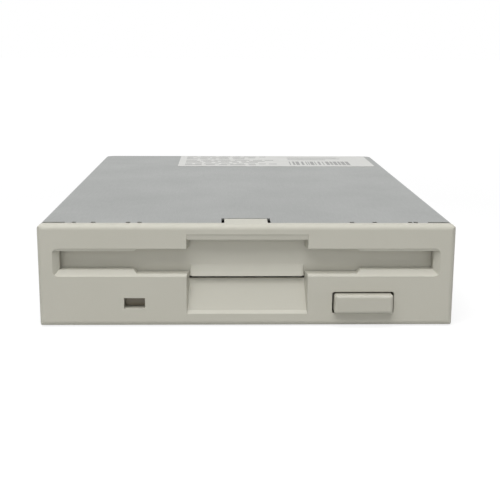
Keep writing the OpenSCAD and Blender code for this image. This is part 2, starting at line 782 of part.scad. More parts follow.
flange_top = pin_z + guide_pin_r + 1.4;
slot_play = 0.12;

module slide_sheet() {
  block([-slide_x, slide_y0, slide_z], [slide_x, slide_y1, slide_top]);
  both_sides() {
    block([slide_in, slide_y0, slide_z], [slide_x, slide_y1, flange_top]);
    block([spring_x - 1, spring_y[1], spring_z - 1.6], [spring_x + 1, spring_y[1] + slide_t, slide_z + eps]);
  }
  block([tongue_x[0], slide_y0 - slide_t, tongue_z], [tongue_x[1], slide_y0 + eps, slide_top]);
  block([tongue_x[0], tongue_y0, tongue_z], [tongue_x[1], slide_y0, tongue_z + slide_t]);
  block([slide_in, latch_y - 2, flange_top - eps], [slide_x, latch_y + slide_t + 2, lever_z + lever_t]);
  block([latch_x, latch_y, lever_z], [slide_in + eps, latch_y + slide_t, lever_z + lever_t]);
}

module slide_plate() color(zinc) place() difference() {
  slide_sheet();
  up_z(slide_z - over, slide_top + over)
    slot_between([0, spindle_y], [0, spindle_y + slide_travel], hub_hole_r);
  block([-slide_gap_x, slide_gap_y, slide_z - over], [slide_gap_x, slide_y1 + over, slide_top + over]);
  both_sides() for (y = pin_y)
    along_x(slide_in - over, slide_x + over)
      slot_between([y, pin_z], [y + slide_travel, pin_z - holder_drop], guide_pin_r + slot_play);
}

// Tension springs from the frame's pegs back to the slide plate's lugs
module slide_springs() color(steel) place() both_sides() {
  coil = [spring_y[0] + 2.2, spring_y[1] - 1.2];
  wire_r = 0.25;
  difference() {
    bar_y(coil[0], coil[1], spring_x, spring_z, spring_r);
    bar_y(coil[0] + 2 * wire_r, coil[1] - 2 * wire_r, spring_x, spring_z, spring_r - 2 * wire_r);
  }
  bar_y(spring_y[0] + 1 + seat_gap, coil[0] + eps, spring_x, spring_z, wire_r);
  bar_y(coil[1] - eps, spring_y[1] - seat_gap, spring_x, spring_z, wire_r);
}

lever_tip = lever_at + lever_r * [cos(lever_a), sin(lever_a)];
lever_slot_half = lever_tab_r + 0.6;
lever_slot_end = 5;

module disk_holder() color(zinc) place() difference() {
  union() {
    block([-holder_x, holder_y0, bay_z + bay_h], [holder_x, holder_y1, holder_top]);
    both_sides() {
      block([bay_x, holder_y0, bay_z - holder_t], [holder_x, holder_y1, holder_top]);
      block([holder_x - lip_w, holder_y0, bay_z - holder_t], [holder_x, holder_y1, bay_z]);
    }
    block([rail_x[0], holder_y1 - eps, bay_z + bay_h], [rail_x[1], rail_y1, holder_top]);
  }
  block([-arm_window_x, arm_window_y, bay_z + bay_h - over],
        [arm_window_x, holder_y1 + over, holder_top + over]);
  translate([lever_at[0], lever_at[1], bay_z + bay_h - over])
    rotate(lever_a - lever_swing - lever_slot_end)
      rotate_extrude(angle = lever_swing + 2 * lever_slot_end)
        translate([lever_r - lever_slot_half, 0]) square([2 * lever_slot_half, holder_t + 2 * over]);
  post(lever_at, lever_pin_r + seat_gap, bay_z + bay_h - over, holder_top + over);
  for (y = pin_y) bar_x(-holder_x - over, holder_x + over, y, pin_z, guide_pin_r + seat_gap);
}

module holder_guide_pins() color(steel) place() both_sides() for (y = pin_y)
  bar_x(bay_x, frame_x - slip_gap, y, pin_z, guide_pin_r);

module latch_lever() color(steel) place() difference() {
  union() {
    up_z(lever_z, lever_z + lever_t) {
      translate(lever_at) circle(3);
      slot_between(lever_at, lever_tip, 1.8);
      translate([lever_at[0], lever_at[1] - 1.5]) square([heel_r, 3.4]);
    }
    post(lever_tip, lever_tab_r, bay_z + 0.4, lever_z + eps);
  }
  post(lever_at, lever_pin_r + run_gap, lever_z - over, lever_z + lever_t + over);
}

lever_leg = 9;
lever_room = 0.8;
lever_head_h = 0.6;
lever_head_z = drive_h - cover_t - lever_room - lever_head_h;
lever_spring_z = [lever_z + lever_t, lever_head_z - slip_gap];

module lever_pivot() color(dark_steel) place() {
  post(lever_at, lever_pin_r, bay_z + bay_h, lever_head_z);
  post(lever_at, lever_pin_r + 1, lever_head_z - eps, lever_head_z + lever_head_h);
}

module lever_spring() color(steel) place() {
  leg = lever_at + lever_leg * [cos(lever_a), sin(lever_a)];
  difference() {
    post(lever_at, lever_pin_r + 0.8, lever_spring_z[0], lever_spring_z[1]);
    post(lever_at, lever_pin_r + 0.2, lever_spring_z[0] - over, lever_spring_z[1] + over);
  }
  difference() {
    up_z(lever_spring_z[0], lever_spring_z[0] + 0.4) slot_between(lever_at, leg, 0.2);
    post(lever_at, lever_pin_r + 0.2, lever_spring_z[0] - over, lever_spring_z[1] + over);
  }
}

// Spindle motor

spindle_at = [0, spindle_y];
rotor_in = rotor_z[1] - rotor_t;
hub_z = rotor_z[1] + 0.9;
coil_r = [9.5, stator_r - 2.6];
coil_w = 5.2;
tooth_w = 3;
bush_top = rotor_in - 0.4;

module rotor_cup() color(steel) place() difference() {
  post(spindle_at, rotor_r, rotor_z[0], rotor_z[1]);
  post(spindle_at, rotor_r - rotor_t, rotor_z[0] - over, rotor_in);
  post(spindle_at, shaft_r + seat_gap, rotor_z[0], rotor_z[1] + over);
}

module ring_magnet() color(ferrite) place() difference() {
  post(spindle_at, rotor_r - rotor_t - seat_gap, rotor_z[0] + 0.1, rotor_in - seat_gap);
  post(spindle_at, rotor_r - rotor_t - magnet_t, rotor_z[0] - over, rotor_z[1]);
}

module spindle_hub() color(steel) place() difference() {
  union() {
    post(spindle_at, shaft_r, board_z + 0.3, hub_top + 1.5);
    post(spindle_at, 6, rotor_z[1], hub_z + eps);
    post(spindle_at, hub_r, hub_z, hub_top);
  }
  difference() {
    post(spindle_at, chuck_r[1] + seat_gap, hub_top - chuck_h - seat_gap, hub_top + over);
    post(spindle_at, chuck_r[0] - seat_gap, hub_z, hub_top + 2 * over);
  }
  post(spindle_at + [drive_pin_d, 0], drive_pin_r + seat_gap, hub_top - 2.5, hub_top + over);
}

module drive_pin() color(dark_steel) place()
  post(spindle_at + [drive_pin_d, 0], drive_pin_r, hub_top - 2.5, hub_top + 1.2);

module chuck_magnet() color(ferrite) place() difference() {
  post(spindle_at, chuck_r[1], hub_top - chuck_h, hub_top - 0.05);
  post(spindle_at, chuck_r[0], hub_top - chuck_h - over, hub_top + over);
}

module spindle_bush() color(gold) place() difference() {
  post(spindle_at, bush_r, board_z, bush_top);
  post(spindle_at, shaft_r + run_gap, board_z - over, bush_top + over);
}

// Turns its children once for each stator tooth
module at_teeth() for (i = [0 : stator_teeth - 1])
  translate([0, spindle_y, 0]) rotate(i * 360 / stator_teeth) children();

module stator_core() color(dark_steel) place() {
  difference() {
    post(spindle_at, coil_r[0] - 0.4, stator_z[0], stator_z[1]);
    post(spindle_at, bush_r + seat_gap, stator_z[0] - over, stator_z[1] + over);
  }
  at_teeth() {
    block([coil_r[0] - 1, -tooth_w / 2, stator_z[0]], [stator_r - 1, tooth_w / 2, stator_z[1]]);
    intersection() {
      difference() {
        cylinder(r = stator_r, h = stator_z[1]);
        cylinder(r = stator_r - 1.6, h = stator_z[1]);
      }
      block([0, -4.2, stator_z[0]], [rotor_r, 4.2, stator_z[1]]);
    }
  }
}

module stator_coils() color(copper) place() at_teeth() difference() {
  block([coil_r[0], -coil_w / 2, board_top + 0.2], [coil_r[1], coil_w / 2, rotor_in - 0.5]);
  block([0, -tooth_w / 2 - seat_gap, stator_z[0] - seat_gap],
        [stator_r, tooth_w / 2 + seat_gap, stator_z[1] + seat_gap]);
}

// Circuit boards and what they carry

module board_holes(y0, y1) for (at = board_screws_at)
  if (at[1] > y0 && at[1] < y1) post(at, board_screw_r + 0.1, board_z - over, board_top + over);

module motor_board() color(board_green) place() difference() {
  block([-board_x, motor_board_y[0], board_z], [board_x, motor_board_y[1], board_top]);
  block([button_x - 8, 0, board_z - over], [button_x + 8, slide_y0, board_top + over]);
  post(spindle_at, bush_r + seat_gap, board_z - over, board_top + over);
  board_holes(motor_board_y[0], motor_board_y[1]);
}

driver_at = 12;
driver_chip = [8, 11, 1.8];
index_chip = [4, 3, 1.2];
main_chip = [12, 12, 1.8];
read_chip = [8, 10, 1.6];
port_chip = [9, 7, 1.6];
main_chip_side = 23.5;
read_chip_x = 2;
port_chip_side = 11.5;
port_chip_back = 5;
chips_back = 13.5;
chips_y = main_board_y[0] + chips_back;
cap_r = 2.2;
cap_h = 3.8;
cap_back = 12.5;
cap_x = [-9, rod_x + 9, rod_x + 15];
link_w = 11;
link_side = 8;
link_d = 3.4;
link_h = 2;
link_x = [board_x - link_side - link_w, board_x - link_side];
link_y = [motor_board_y[1] - board_edge, main_board_y[0] + board_edge];
link_z = board_top + 0.8;

module on_board(at, size) block([at[0] - size[0] / 2, at[1] - size[1] / 2, board_top],
  [at[0] + size[0] / 2, at[1] + size[1] / 2, board_top + size[2]]);

module motor_driver_chip() color(black_plastic) place()
  on_board([board_x - driver_at, spindle_y + driver_at], driver_chip);

module index_sensor() color(black_plastic) place() on_board([0, spindle_y + rotor_r + 2.4], index_chip);

module main_board() color(board_green) place() difference() {
  block([-board_x, main_board_y[0], board_z], [board_x, main_board_y[1], board_top]);
  board_holes(main_board_y[0], main_board_y[1]);
}

module control_chips() color(black_plastic) place() {
  on_board([main_chip_side - board_x, chips_y], main_chip);
  on_board([read_chip_x, chips_y], read_chip);
  on_board([board_x - port_chip_side, chips_y + port_chip_back], port_chip);
}

module capacitors() color(steel) place() for (x = cap_x)
  post([x, chips_y + cap_back], cap_r, board_top, board_top + cap_h);

module board_link_cable() color(flex_amber) place()
  block([link_x[0] + 1, link_y[0], link_z], [link_x[1] - 1, link_y[1], link_z + 0.2]);

module link_connectors() color(white_plastic) place() {
  block([link_x[0], link_y[0] - link_d, board_top], [link_x[1], link_y[0], board_top + link_h]);
  block([link_x[0], link_y[1], board_top], [link_x[1], link_y[1] + link_d, board_top + link_h]);
}

// Right-angle contact: its free end points back, its foot stands on the board
module contact(x, z, foot_y, w) {
  block([x - w / 2, foot_y, z - w / 2], [x + w / 2, pin_tip_y, z + w / 2]);
  block([x - w / 2, foot_y, board_top], [x + w / 2, foot_y + w, z]);
}

module data_contacts(w) for (i = [0 : data_columns - 1], row = [0, 1])
  contact(data_x + (i - (data_columns - 1) / 2) * pin_pitch, row_z[row], base_y[0] - 1.4 - 2 * row, w);

module power_contacts(w) for (i = [0 : power_columns - 1])
  contact((i - (power_columns - 1) / 2) * pin_pitch - power_x, power_z, base_y[0] - 1.4, w);

module data_connector() color(black_plastic) place() difference() {
  half = data_len / 2 + base_end;
  block([data_x - half, base_y[0], board_top], [data_x + half, base_y[1], row_z[1] + 1.5]);
  data_contacts(pin_w + 2 * seat_gap);
}

module data_pins() color(gold) place() data_contacts(pin_w);

// Base with a guard ledge over the contacts
module power_connector() color(white_plastic) place() difference() {
  half = power_len / 2 + base_end;
  union() {
    block([-power_x - half, base_y[0], board_top], [-power_x + half, base_y[1], power_z + 2.4]);
    block([-power_x - half, base_y[1] - eps, power_z + 1.6], [-power_x + half, pin_tip_y - 2, power_z + 2.4]);
  }
  power_contacts(pin_w + 2 * seat_gap);
}

module power_pins() color(gold) place() power_contacts(pin_w);

module board_screws() color(steel) place() for (at = board_screws_at) {
  post(at, board_head_r, board_z - board_head_h, board_z);
  post(at, board_screw_r, board_z - eps, floor_top - 0.8);
}

// Stepper motor, lead screw and bracket

nose_r = 3;
nose_out = 0.6;
lead_bearing_r = lead_r + 1;

module stepper_motor() color(steel) place() difference() {
  union() {
    bar_y(stepper_y, stepper_y + stepper_l, -lead_x, lead_z, stepper_r);
    bar_y(bracket_y1 - nose_out, stepper_y + eps, -lead_x, lead_z, nose_r);
  }
  bar_y(bracket_y1 - over, stepper_y + 4, -lead_x, lead_z, lead_r + run_gap);
}

module stepper_bracket() color(zinc) place() difference() {
  union() {
    for (y = [bracket_y0, bracket_y1])
      block([bracket_x[0], y, bracket_z[0]], [bracket_x[1], y + bracket_t, bracket_z[1]]);
    block([bracket_x[0], bracket_y0, bracket_z[0]], [bracket_x[0] + bracket_t, stepper_y, bracket_z[1]]);
    block([foot_x, bracket_y0, bracket_z[0]], [bracket_x[0] + eps, stepper_y, foot_top]);
  }
  bar_y(bracket_y0 - over, bracket_y0 + bracket_t + over, -lead_x, lead_z, lead_bearing_r + seat_gap);
  bar_y(bracket_y1 - over, bracket_y1 + bracket_t + over, -lead_x, lead_z, nose_r + seat_gap);
  for (at = bracket_screws_at) post(at, bracket_screw_r + seat_gap, bracket_z[0] - over, foot_top + over);
}

module bracket_screws() color(steel) place() for (at = bracket_screws_at) {
  post(at, bracket_screw_r + 0.9, foot_top, foot_top + 0.9);
  post(at, bracket_screw_r, floor_z - 0.8, foot_top + eps);
}

module lead_screw() color(steel) place()
  bar_y(bracket_y0, stepper_y + 3.6, -lead_x, lead_z, lead_r);

module lead_bearing() color(gold) place() difference() {
  bar_y(bracket_y0, bracket_y0 + bracket_t, -lead_x, lead_z, lead_bearing_r);
  bar_y(bracket_y0 - over, bracket_y0 + bracket_t + over, -lead_x, lead_z, lead_r + run_gap);
}

// Head carriage and upper arm

block_top = 13.6;
ear_x = 7.2;
follower_x = lead_r + 0.1 - lead_x;
follower_arm_x = lead_r + 1.7 - lead_x;

module carriage_body() {
  block([-block_x, block_y0, carriage_z], [block_x, block_y1, block_top]);
  both_sides()
    block([ear_x, pivot_y - 3, block_top - eps], [block_x, block_y1, pivot_z + 1.9]);
  block([-8, head_y - 6, carriage_z], [8, block_y0 + eps, low_arm_top]);
  bar_y(sleeve_y[0], sleeve_y[1], rod_x, rod_z, sleeve_r);
  block([6, sleeve_y[0], carriage_z], [rod_x, sleeve_y[1], rod_z + sleeve_r]);
  block([-block_x - 3, follower_y - 2.6, carriage_z], [eps - block_x, follower_y + 1.5, lead_z + 1.6]);
  block([follower_arm_x, follower_y - 1.5, lead_z - 1.6], [-block_x, follower_y + 1.5, lead_z + 1.6]);
  block([flag_x - 0.5, pivot_y - 1, carriage_z - 3], [flag_x + 0.5, block_y1, carriage_z + eps]);
}

module head_carriage() color(black_plastic) place() difference() {
  carriage_body();
  bar_y(sleeve_y[0] - over, sleeve_y[1] + over, rod_x, rod_z, rod_r + run_gap);
  bar_x(-block_x - over, block_x + over, pivot_y, pivot_z, pivot_pin_r + seat_gap);
  bar_x(follower_x - over, follower_x + 8, follower_y, lead_z, follower_r + seat_gap);
}

module screw_follower() color(steel) place()
  bar_x(follower_x, follower_x + 7.6, follower_y, lead_z, follower_r);

module lower_head() color(ferrite) place()
  block([-4, head_y - 3, low_arm_top], [4, head_y + 3, lower_head_top]);

// The arm is drawn level, as with a disk loaded, and raised about its pivot
module raised() translate([0, pivot_y, pivot_z]) rotate([-arm_lift, 0, 0])
  translate([0, -pivot_y, -pivot_z]) children();

arm_spring_x = [3.9, 6.7];

module upper_arm() color(steel) place() raised() difference() {
  union() {
    block([-arm_x, head_y - 4, arm_z], [arm_x, pivot_y, arm_z + arm_t]);
    bar_x(-arm_x - 0.3, arm_x + 0.3, pivot_y, pivot_z, 1.8);
    block([arm_x - 1.5, wing_y[0], arm_z], [arm_x, wing_y[1], wing_z + 1]);
    block([arm_x - eps, wing_y[0], wing_z], [rail_x[1] - 0.4, wing_y[1], wing_z + 1]);
  }
  bar_x(-block_x, block_x, pivot_y, pivot_z, pivot_pin_r + run_gap);
  block([arm_spring_x[0], pivot_y - 2.4, 0], [block_x, pivot_y + 3, drive_h]);
}

module upper_head() color(ferrite) place() raised()
  block([-4, head_y - 3, lower_head_top + head_gap], [4, head_y + 3, arm_z]);

module arm_pivot_pin() color(steel) place() bar_x(-block_x, block_x, pivot_y, pivot_z, pivot_pin_r);

// Coil on the pivot pin with a leg that presses on the arm
module head_load_spring() color(steel) place() raised() {
  wire = 0.4;
  leg_x = arm_spring_x[0] + 0.6;
  difference() {
    bar_x(arm_spring_x[0] + 0.2, arm_spring_x[1], pivot_y, pivot_z, 1.7);
    bar_x(arm_spring_x[0], block_x, pivot_y, pivot_z, pivot_pin_r + 0.2);
  }
  block([leg_x, pivot_y - 12, arm_z + arm_t], [leg_x + wire, pivot_y - 1, arm_z + arm_t + wire]);
}

flex_room = [stepper_r - lead_x, data_x - data_len / 2 - base_end];
flex_u = [0.16, 0.61];
flex_x = [for (u = flex_u) flex_room[0] + u * (flex_room[1] - flex_room[0])];
flex_t = 0.25;
flex_r = (block_top - 1.2 - board_top) / 2;

// Ribbon that loops from the carriage's rear face down to the main board
module head_flex() color(flex_amber) place() along_x(flex_x[0], flex_x[1]) intersection() {
  translate([block_y1 + seat_gap, board_top + flex_r]) difference() {
    circle(flex_r);
    circle(flex_r - flex_t);
  }
  translate([block_y1 + seat_gap, 0]) square([flex_r + over, drive_h]);
}

module guide_rod() color(steel) place() bar_y(rod_y[0], rod_y[1], rod_x, rod_z, rod_r);

// Forked light gate that the carriage's flag enters at track zero
module track_zero_sensor() color(black_plastic) place() {
  y0 = pivot_y - 0.5;
  translate([flag_x, 0, 0]) {
    block([-3, y0, board_top], [3, block_y1, board_top + 1.4]);
    both_sides() block([1, y0, board_top], [3, block_y1, carriage_z - 1]);
  }
}

// Sensing switches

plunger_z = switch_top - 2.2;

module switch_bodies() color(black_plastic) place() for (x = switch_xs) difference() {
  half = switch_size / 2;
  block([x - half, switch_y - half, board_top], [x + half, switch_y + half, switch_top]);
  post([x, switch_y], plunger_r + run_gap, plunger_z - plunger_travel - 0.3, switch_top + over);
}

module plunger(i) color(white_plastic) place()
  post([switch_xs[i], switch_y], plunger_r, plunger_z, plunger_top);

module write_protect_plunger() plunger(0);

module density_plunger() plunger(1);

module disk_in_plunger() plunger(2);

front_bezel();
dust_flap();
flap_pin();
flap_spring();
eject_button();
activity_lamp();
top_cover();
rating_label();
chassis_frame();
slide_plate();
slide_springs();
disk_holder();
holder_guide_pins();
latch_lever();
lever_pivot();
lever_spring();
rotor_cup();
ring_magnet();
spindle_hub();
drive_pin();
chuck_magnet();
spindle_bush();
stator_core();
stator_coils();
motor_board();
motor_driver_chip();
index_sensor();
main_board();
control_chips();
capacitors();
board_link_cable();
link_connectors();
data_connector();
data_pins();
power_connector();
power_pins();
stepper_motor();
stepper_bracket();
lead_screw();
lead_bearing();
head_carriage();
screw_follower();
lower_head();
upper_arm();
upper_head();
arm_pivot_pin();
head_load_spring();
head_flex();
guide_rod();
track_zero_sensor();
switch_bodies();
write_protect_plunger();
density_plunger();
disk_in_plunger();
board_screws();
bracket_screws();
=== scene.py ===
"""Looks of the 3.5-inch floppy disk drive: materials, fine pieces, light and camera.

Places in mm are written as in the part's source: x to the right, y back from the bezel's face,
z up from the bottom. at() turns them into the shared frame in metres.
"""
import math
import random

import bmesh
import bpy
from mathutils import Matrix, Vector


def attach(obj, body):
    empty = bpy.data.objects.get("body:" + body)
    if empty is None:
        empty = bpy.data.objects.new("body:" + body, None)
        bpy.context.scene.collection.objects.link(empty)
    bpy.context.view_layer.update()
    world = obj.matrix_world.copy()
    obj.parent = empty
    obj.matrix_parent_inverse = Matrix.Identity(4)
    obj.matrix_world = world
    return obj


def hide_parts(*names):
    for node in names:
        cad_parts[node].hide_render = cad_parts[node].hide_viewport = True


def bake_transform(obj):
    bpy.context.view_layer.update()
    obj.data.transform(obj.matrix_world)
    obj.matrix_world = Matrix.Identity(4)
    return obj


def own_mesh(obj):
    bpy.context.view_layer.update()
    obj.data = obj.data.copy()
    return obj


MM = 0.001
# The bezel's face in the shared frame, in mm
FACE_Y = -76.0
X, Y, Z = Vector((1, 0, 0)), Vector((0, 1, 0)), Vector((0, 0, 1))

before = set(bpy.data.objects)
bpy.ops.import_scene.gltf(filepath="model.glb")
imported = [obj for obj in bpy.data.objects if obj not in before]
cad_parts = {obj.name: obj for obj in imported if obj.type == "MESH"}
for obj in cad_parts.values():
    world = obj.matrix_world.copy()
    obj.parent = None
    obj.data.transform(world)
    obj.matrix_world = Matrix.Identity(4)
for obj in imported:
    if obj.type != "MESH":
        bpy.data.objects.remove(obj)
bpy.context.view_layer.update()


def at(x, y, z):
    """A point in mm from the bezel's face as a point of the shared frame in metres."""
    return Vector((x, y + FACE_Y, z)) * MM


# Materials

# Sockets of a Mix node: the two colours or numbers that go in, and the one that comes out
COLOUR_A, COLOUR_B, COLOUR_OUT = 6, 7, 2
NUMBER_A, NUMBER_B, NUMBER_OUT = 2, 3, 0
# Width in mm of the faint patches on plastic and metal, and of a field of tracks on a board
PLASTIC_PATCH, METAL_PATCH, TRACK_FIELD = 16, 22, 13
# Marks on a sheet are so many times as wide as its grain
MARK_TO_GRAIN = 20
# Refractive indices of plastic, solder mask and film
PLASTIC_IOR, MASK_IOR, FILM_IOR = 1.53, 1.52, 1.48
# Plastic where hands have rubbed its edges
RUBBED = "#E8E6DF"


def lin(code):
    """A colour written as sRGB hex, as the linear values that a shader takes."""
    parts = [int(code[i:i + 2], 16) / 255 for i in (1, 3, 5)]
    return [c / 12.92 if c <= 0.04045 else ((c + 0.055) / 1.055) ** 2.4 for c in parts] + [1]


def per(size):
    """The texture scale at which one feature is size mm wide."""
    return 1 / (size * MM)


def add(tree, kind, inputs, **settings):
    """Adds a node with its settings; an input is a value, or another node's output to link."""
    node = tree.nodes.new(kind)
    for name, value in settings.items():
        setattr(node, name, value)
    for key, value in inputs.items():
        if isinstance(value, bpy.types.NodeSocket):
            tree.links.new(value, node.inputs[key])
        else:
            node.inputs[key].default_value = value
    return node


def begin(name):
    """A new material, its empty node tree and the object's own coordinates."""
    mat = bpy.data.materials.new(name)
    mat.use_nodes = True
    mat.node_tree.nodes.clear()
    spot = add(mat.node_tree, "ShaderNodeTexCoord", {}).outputs["Object"]
    return mat, mat.node_tree, spot


def moulded(name, base, aged, grain, rough, depth=0.03, ease=0.12):
    """Moulded thermoplastic: an even colour with faint patches, a spark-eroded grain that breaks up
    the gloss, edges eased by the tool and a little rubbed pale. grain, depth and ease are in mm."""
    mat, tree, spot = begin(name)
    patch = add(tree, "ShaderNodeTexNoise", {
        "Vector": spot, "Scale": per(PLASTIC_PATCH), "Detail": 4.0})
    tone = add(tree, "ShaderNodeMix", {
        "Factor": patch.outputs["Fac"], COLOUR_A: lin(base), COLOUR_B: lin(aged)}, data_type="RGBA")
    edge = add(tree, "ShaderNodeBevel", {"Radius": ease * MM}, samples=6)
    flat = add(tree, "ShaderNodeNewGeometry", {})
    turn = add(tree, "ShaderNodeVectorMath", {
        0: edge.outputs["Normal"], 1: flat.outputs["Normal"]}, operation="DOT_PRODUCT")
    worn = add(tree, "ShaderNodeMapRange", {
        "Value": turn.outputs["Value"], "From Min": 0.97, "From Max": 0.75,
        "To Min": 0.0, "To Max": 0.12})
    pale = add(tree, "ShaderNodeMix", {
        "Factor": worn.outputs["Result"], COLOUR_A: tone.outputs[COLOUR_OUT],
        COLOUR_B: lin(RUBBED)}, data_type="RGBA")
    pits = add(tree, "ShaderNodeTexNoise", {"Vector": spot, "Scale": per(grain), "Detail": 2.0})
    gloss = add(tree, "ShaderNodeMapRange", {
        "Value": pits.outputs["Fac"], "From Min": 0.3, "From Max": 0.7,
        "To Min": rough - 0.07, "To Max": rough + 0.07})
    bump = add(tree, "ShaderNodeBump", {
        "Strength": 0.5, "Distance": depth * MM, "Height": pits.outputs["Fac"],
        "Normal": edge.outputs["Normal"]})
    body = add(tree, "ShaderNodeBsdfPrincipled", {
        "Base Color": pale.outputs[COLOUR_OUT], "Roughness": gloss.outputs["Result"],
        "IOR": PLASTIC_IOR, "Normal": bump.outputs["Normal"]})
    add(tree, "ShaderNodeOutputMaterial", {"Surface": body.outputs["BSDF"]})
    return mat


def metal(name, base, dull, grain, rough, run=(1, 1, 1), depth=0.01, ease=0.1, spread=0.08):
    """Metal: a reflecting base with duller patches and a fine grain that may be drawn out along
    run. grain, depth and ease are in mm, and spread is how far the roughness varies."""
    mat, tree, spot = begin(name)
    patch = add(tree, "ShaderNodeTexNoise", {
        "Vector": spot, "Scale": per(METAL_PATCH), "Detail": 5.0})
    tone = add(tree, "ShaderNodeMix", {
        "Factor": patch.outputs["Fac"], COLOUR_A: lin(base), COLOUR_B: lin(dull)}, data_type="RGBA")
    drawn = add(tree, "ShaderNodeMapping", {
        "Vector": spot, "Scale": [per(grain * k) for k in run]})
    lines = add(tree, "ShaderNodeTexNoise", {
        "Vector": drawn.outputs["Vector"], "Scale": 1.0, "Detail": 3.0})
    mixed = add(tree, "ShaderNodeMath", {
        0: lines.outputs["Fac"], 1: patch.outputs["Fac"]}, operation="ADD")
    gloss = add(tree, "ShaderNodeMapRange", {
        "Value": mixed.outputs["Value"], "From Min": 0.6, "From Max": 1.4,
        "To Min": rough - spread, "To Max": rough + spread})
    edge = add(tree, "ShaderNodeBevel", {"Radius": ease * MM}, samples=6)
    bump = add(tree, "ShaderNodeBump", {
        "Strength": 0.35, "Distance": depth * MM, "Height": lines.outputs["Fac"],
        "Normal": edge.outputs["Normal"]})
    body = add(tree, "ShaderNodeBsdfPrincipled", {
        "Base Color": tone.outputs[COLOUR_OUT], "Metallic": 1.0,
        "Roughness": gloss.outputs["Result"], "Normal": bump.outputs["Normal"]})
    add(tree, "ShaderNodeOutputMaterial", {"Surface": body.outputs["BSDF"]})
    return mat


# Bezel ABS, moulded in a spark-eroded tool: warm light grey, nearly matt. The 0.05 mm grain is
# drawn at 0.3 mm, the finest that shows.
bezel_abs = moulded("abs_bezel_grey", "#C1BFB4", "#BCBAAE",
                    grain=0.3, rough=0.5, depth=0.03, ease=0.2)
# The button comes from a smoother tool, so it has a little more sheen.
button_abs = moulded("abs_button_satin", "#BCBAAF", "#B8B6AA",
                     grain=0.4, rough=0.42, depth=0.015, ease=0.3)
# The flap is thin polystyrene, more even than the bezel, with a soft gloss. Its colour is painted a
# shade lighter than the bezel's to lift the shade it sits in behind the slot.
flap_styrene = moulded("polystyrene_flap", "#C7C5BA", "#C3C1B5",
                       grain=0.5, rough=0.44, depth=0.012)
# Glass-filled black nylon: dark grey with a faint mineral speckle.
black_nylon = moulded("nylon_black_glass_filled", "#26272A", "#2D2E30",
                      grain=0.25, rough=0.55, depth=0.02)
# Epoxy moulding of the chips: matt, slightly sandy black.
chip_epoxy = moulded("epoxy_chip_black", "#1E1F21", "#242527",
                     grain=0.2, rough=0.68, depth=0.02)
# Natural nylon of the small connectors and plungers: milky and smooth.
natural_nylon = moulded("nylon_natural", "#DAD7CB", "#D2CEC0",
                        grain=0.6, rough=0.38, depth=0.01)
# Cover of zinc-plated sheet steel: cool light grey, rolled grain along the drive, satin enough to
# show no image.
zinc_sheet = metal("steel_zinc_plated_sheet", "#A0A2A0", "#989A98",
                   grain=0.22, rough=0.42, run=(1, 14, 1), depth=0.006, ease=0.12, spread=0.06)
# Inner stampings in the same plate, a little brighter because they are clean.
zinc_stamping = metal("steel_zinc_plated_stamping", "#BDBFBD", "#AEB0AE",
                      grain=0.2, rough=0.34, run=(1, 8, 1), depth=0.006, ease=0.1)
# Ground and turned steel pins, rods and screws: bright with fine rings across the length.
ground_steel = metal("steel_ground_bright", "#C9CACB", "#BFC0C2",
                     grain=0.12, rough=0.24, run=(6, 1, 6), depth=0.004, ease=0.08, spread=0.05)
# Spring wire: oil-tempered, so darker and warmer than the pins.
spring_wire = metal("steel_spring_wire", "#9C9B98", "#85827D",
                    grain=0.15, rough=0.32, depth=0.004, ease=0.03)
# Aluminium pressure casting of the frame: dull, with a granular skin and flow marks.
cast_frame = metal("aluminium_die_cast", "#A9ABAB", "#999B9B",
                   grain=0.5, rough=0.5, depth=0.03, ease=0.2, spread=0.1)
# Electrical steel of the stator, blackened by heat treatment: dark blue-grey and half dull.
core_steel = metal("steel_electrical_sheet", "#5C5D61", "#4C4D50",
                   grain=0.3, rough=0.45, depth=0.01)
# Gold flash over nickel on the contacts: a clean pale yellow shine.
gold_flash = metal("gold_flash_contact", "#D8B56A", "#CBA558",
                   grain=0.2, rough=0.26, run=(1, 5, 1), depth=0.004, ease=0.05, spread=0.05)
# Sintered bronze of the bearings: porous and brown-gold.
bronze = metal("bronze_sintered", "#A9854F", "#8F6F40",
               grain=0.18, rough=0.42, depth=0.02)
# Tin-lead solder: bright and slightly rippled.
solder = metal("solder_tin_lead", "#C4C6C8", "#B2B4B6",
               grain=0.5, rough=0.3, depth=0.02)
# Enamelled copper: red-brown lacquer over bright wire, with the turns as fine ribs.
copper_wire = metal("copper_enamelled_wire", "#B5682F", "#98501F",
                    grain=0.25, rough=0.3, run=(12, 12, 1), depth=0.04)
# Sintered ferrite: charcoal ceramic, dull with fine pores.
ferrite = moulded("ferrite_sintered", "#3A393B", "#302F31",
                  grain=0.15, rough=0.6, depth=0.02)


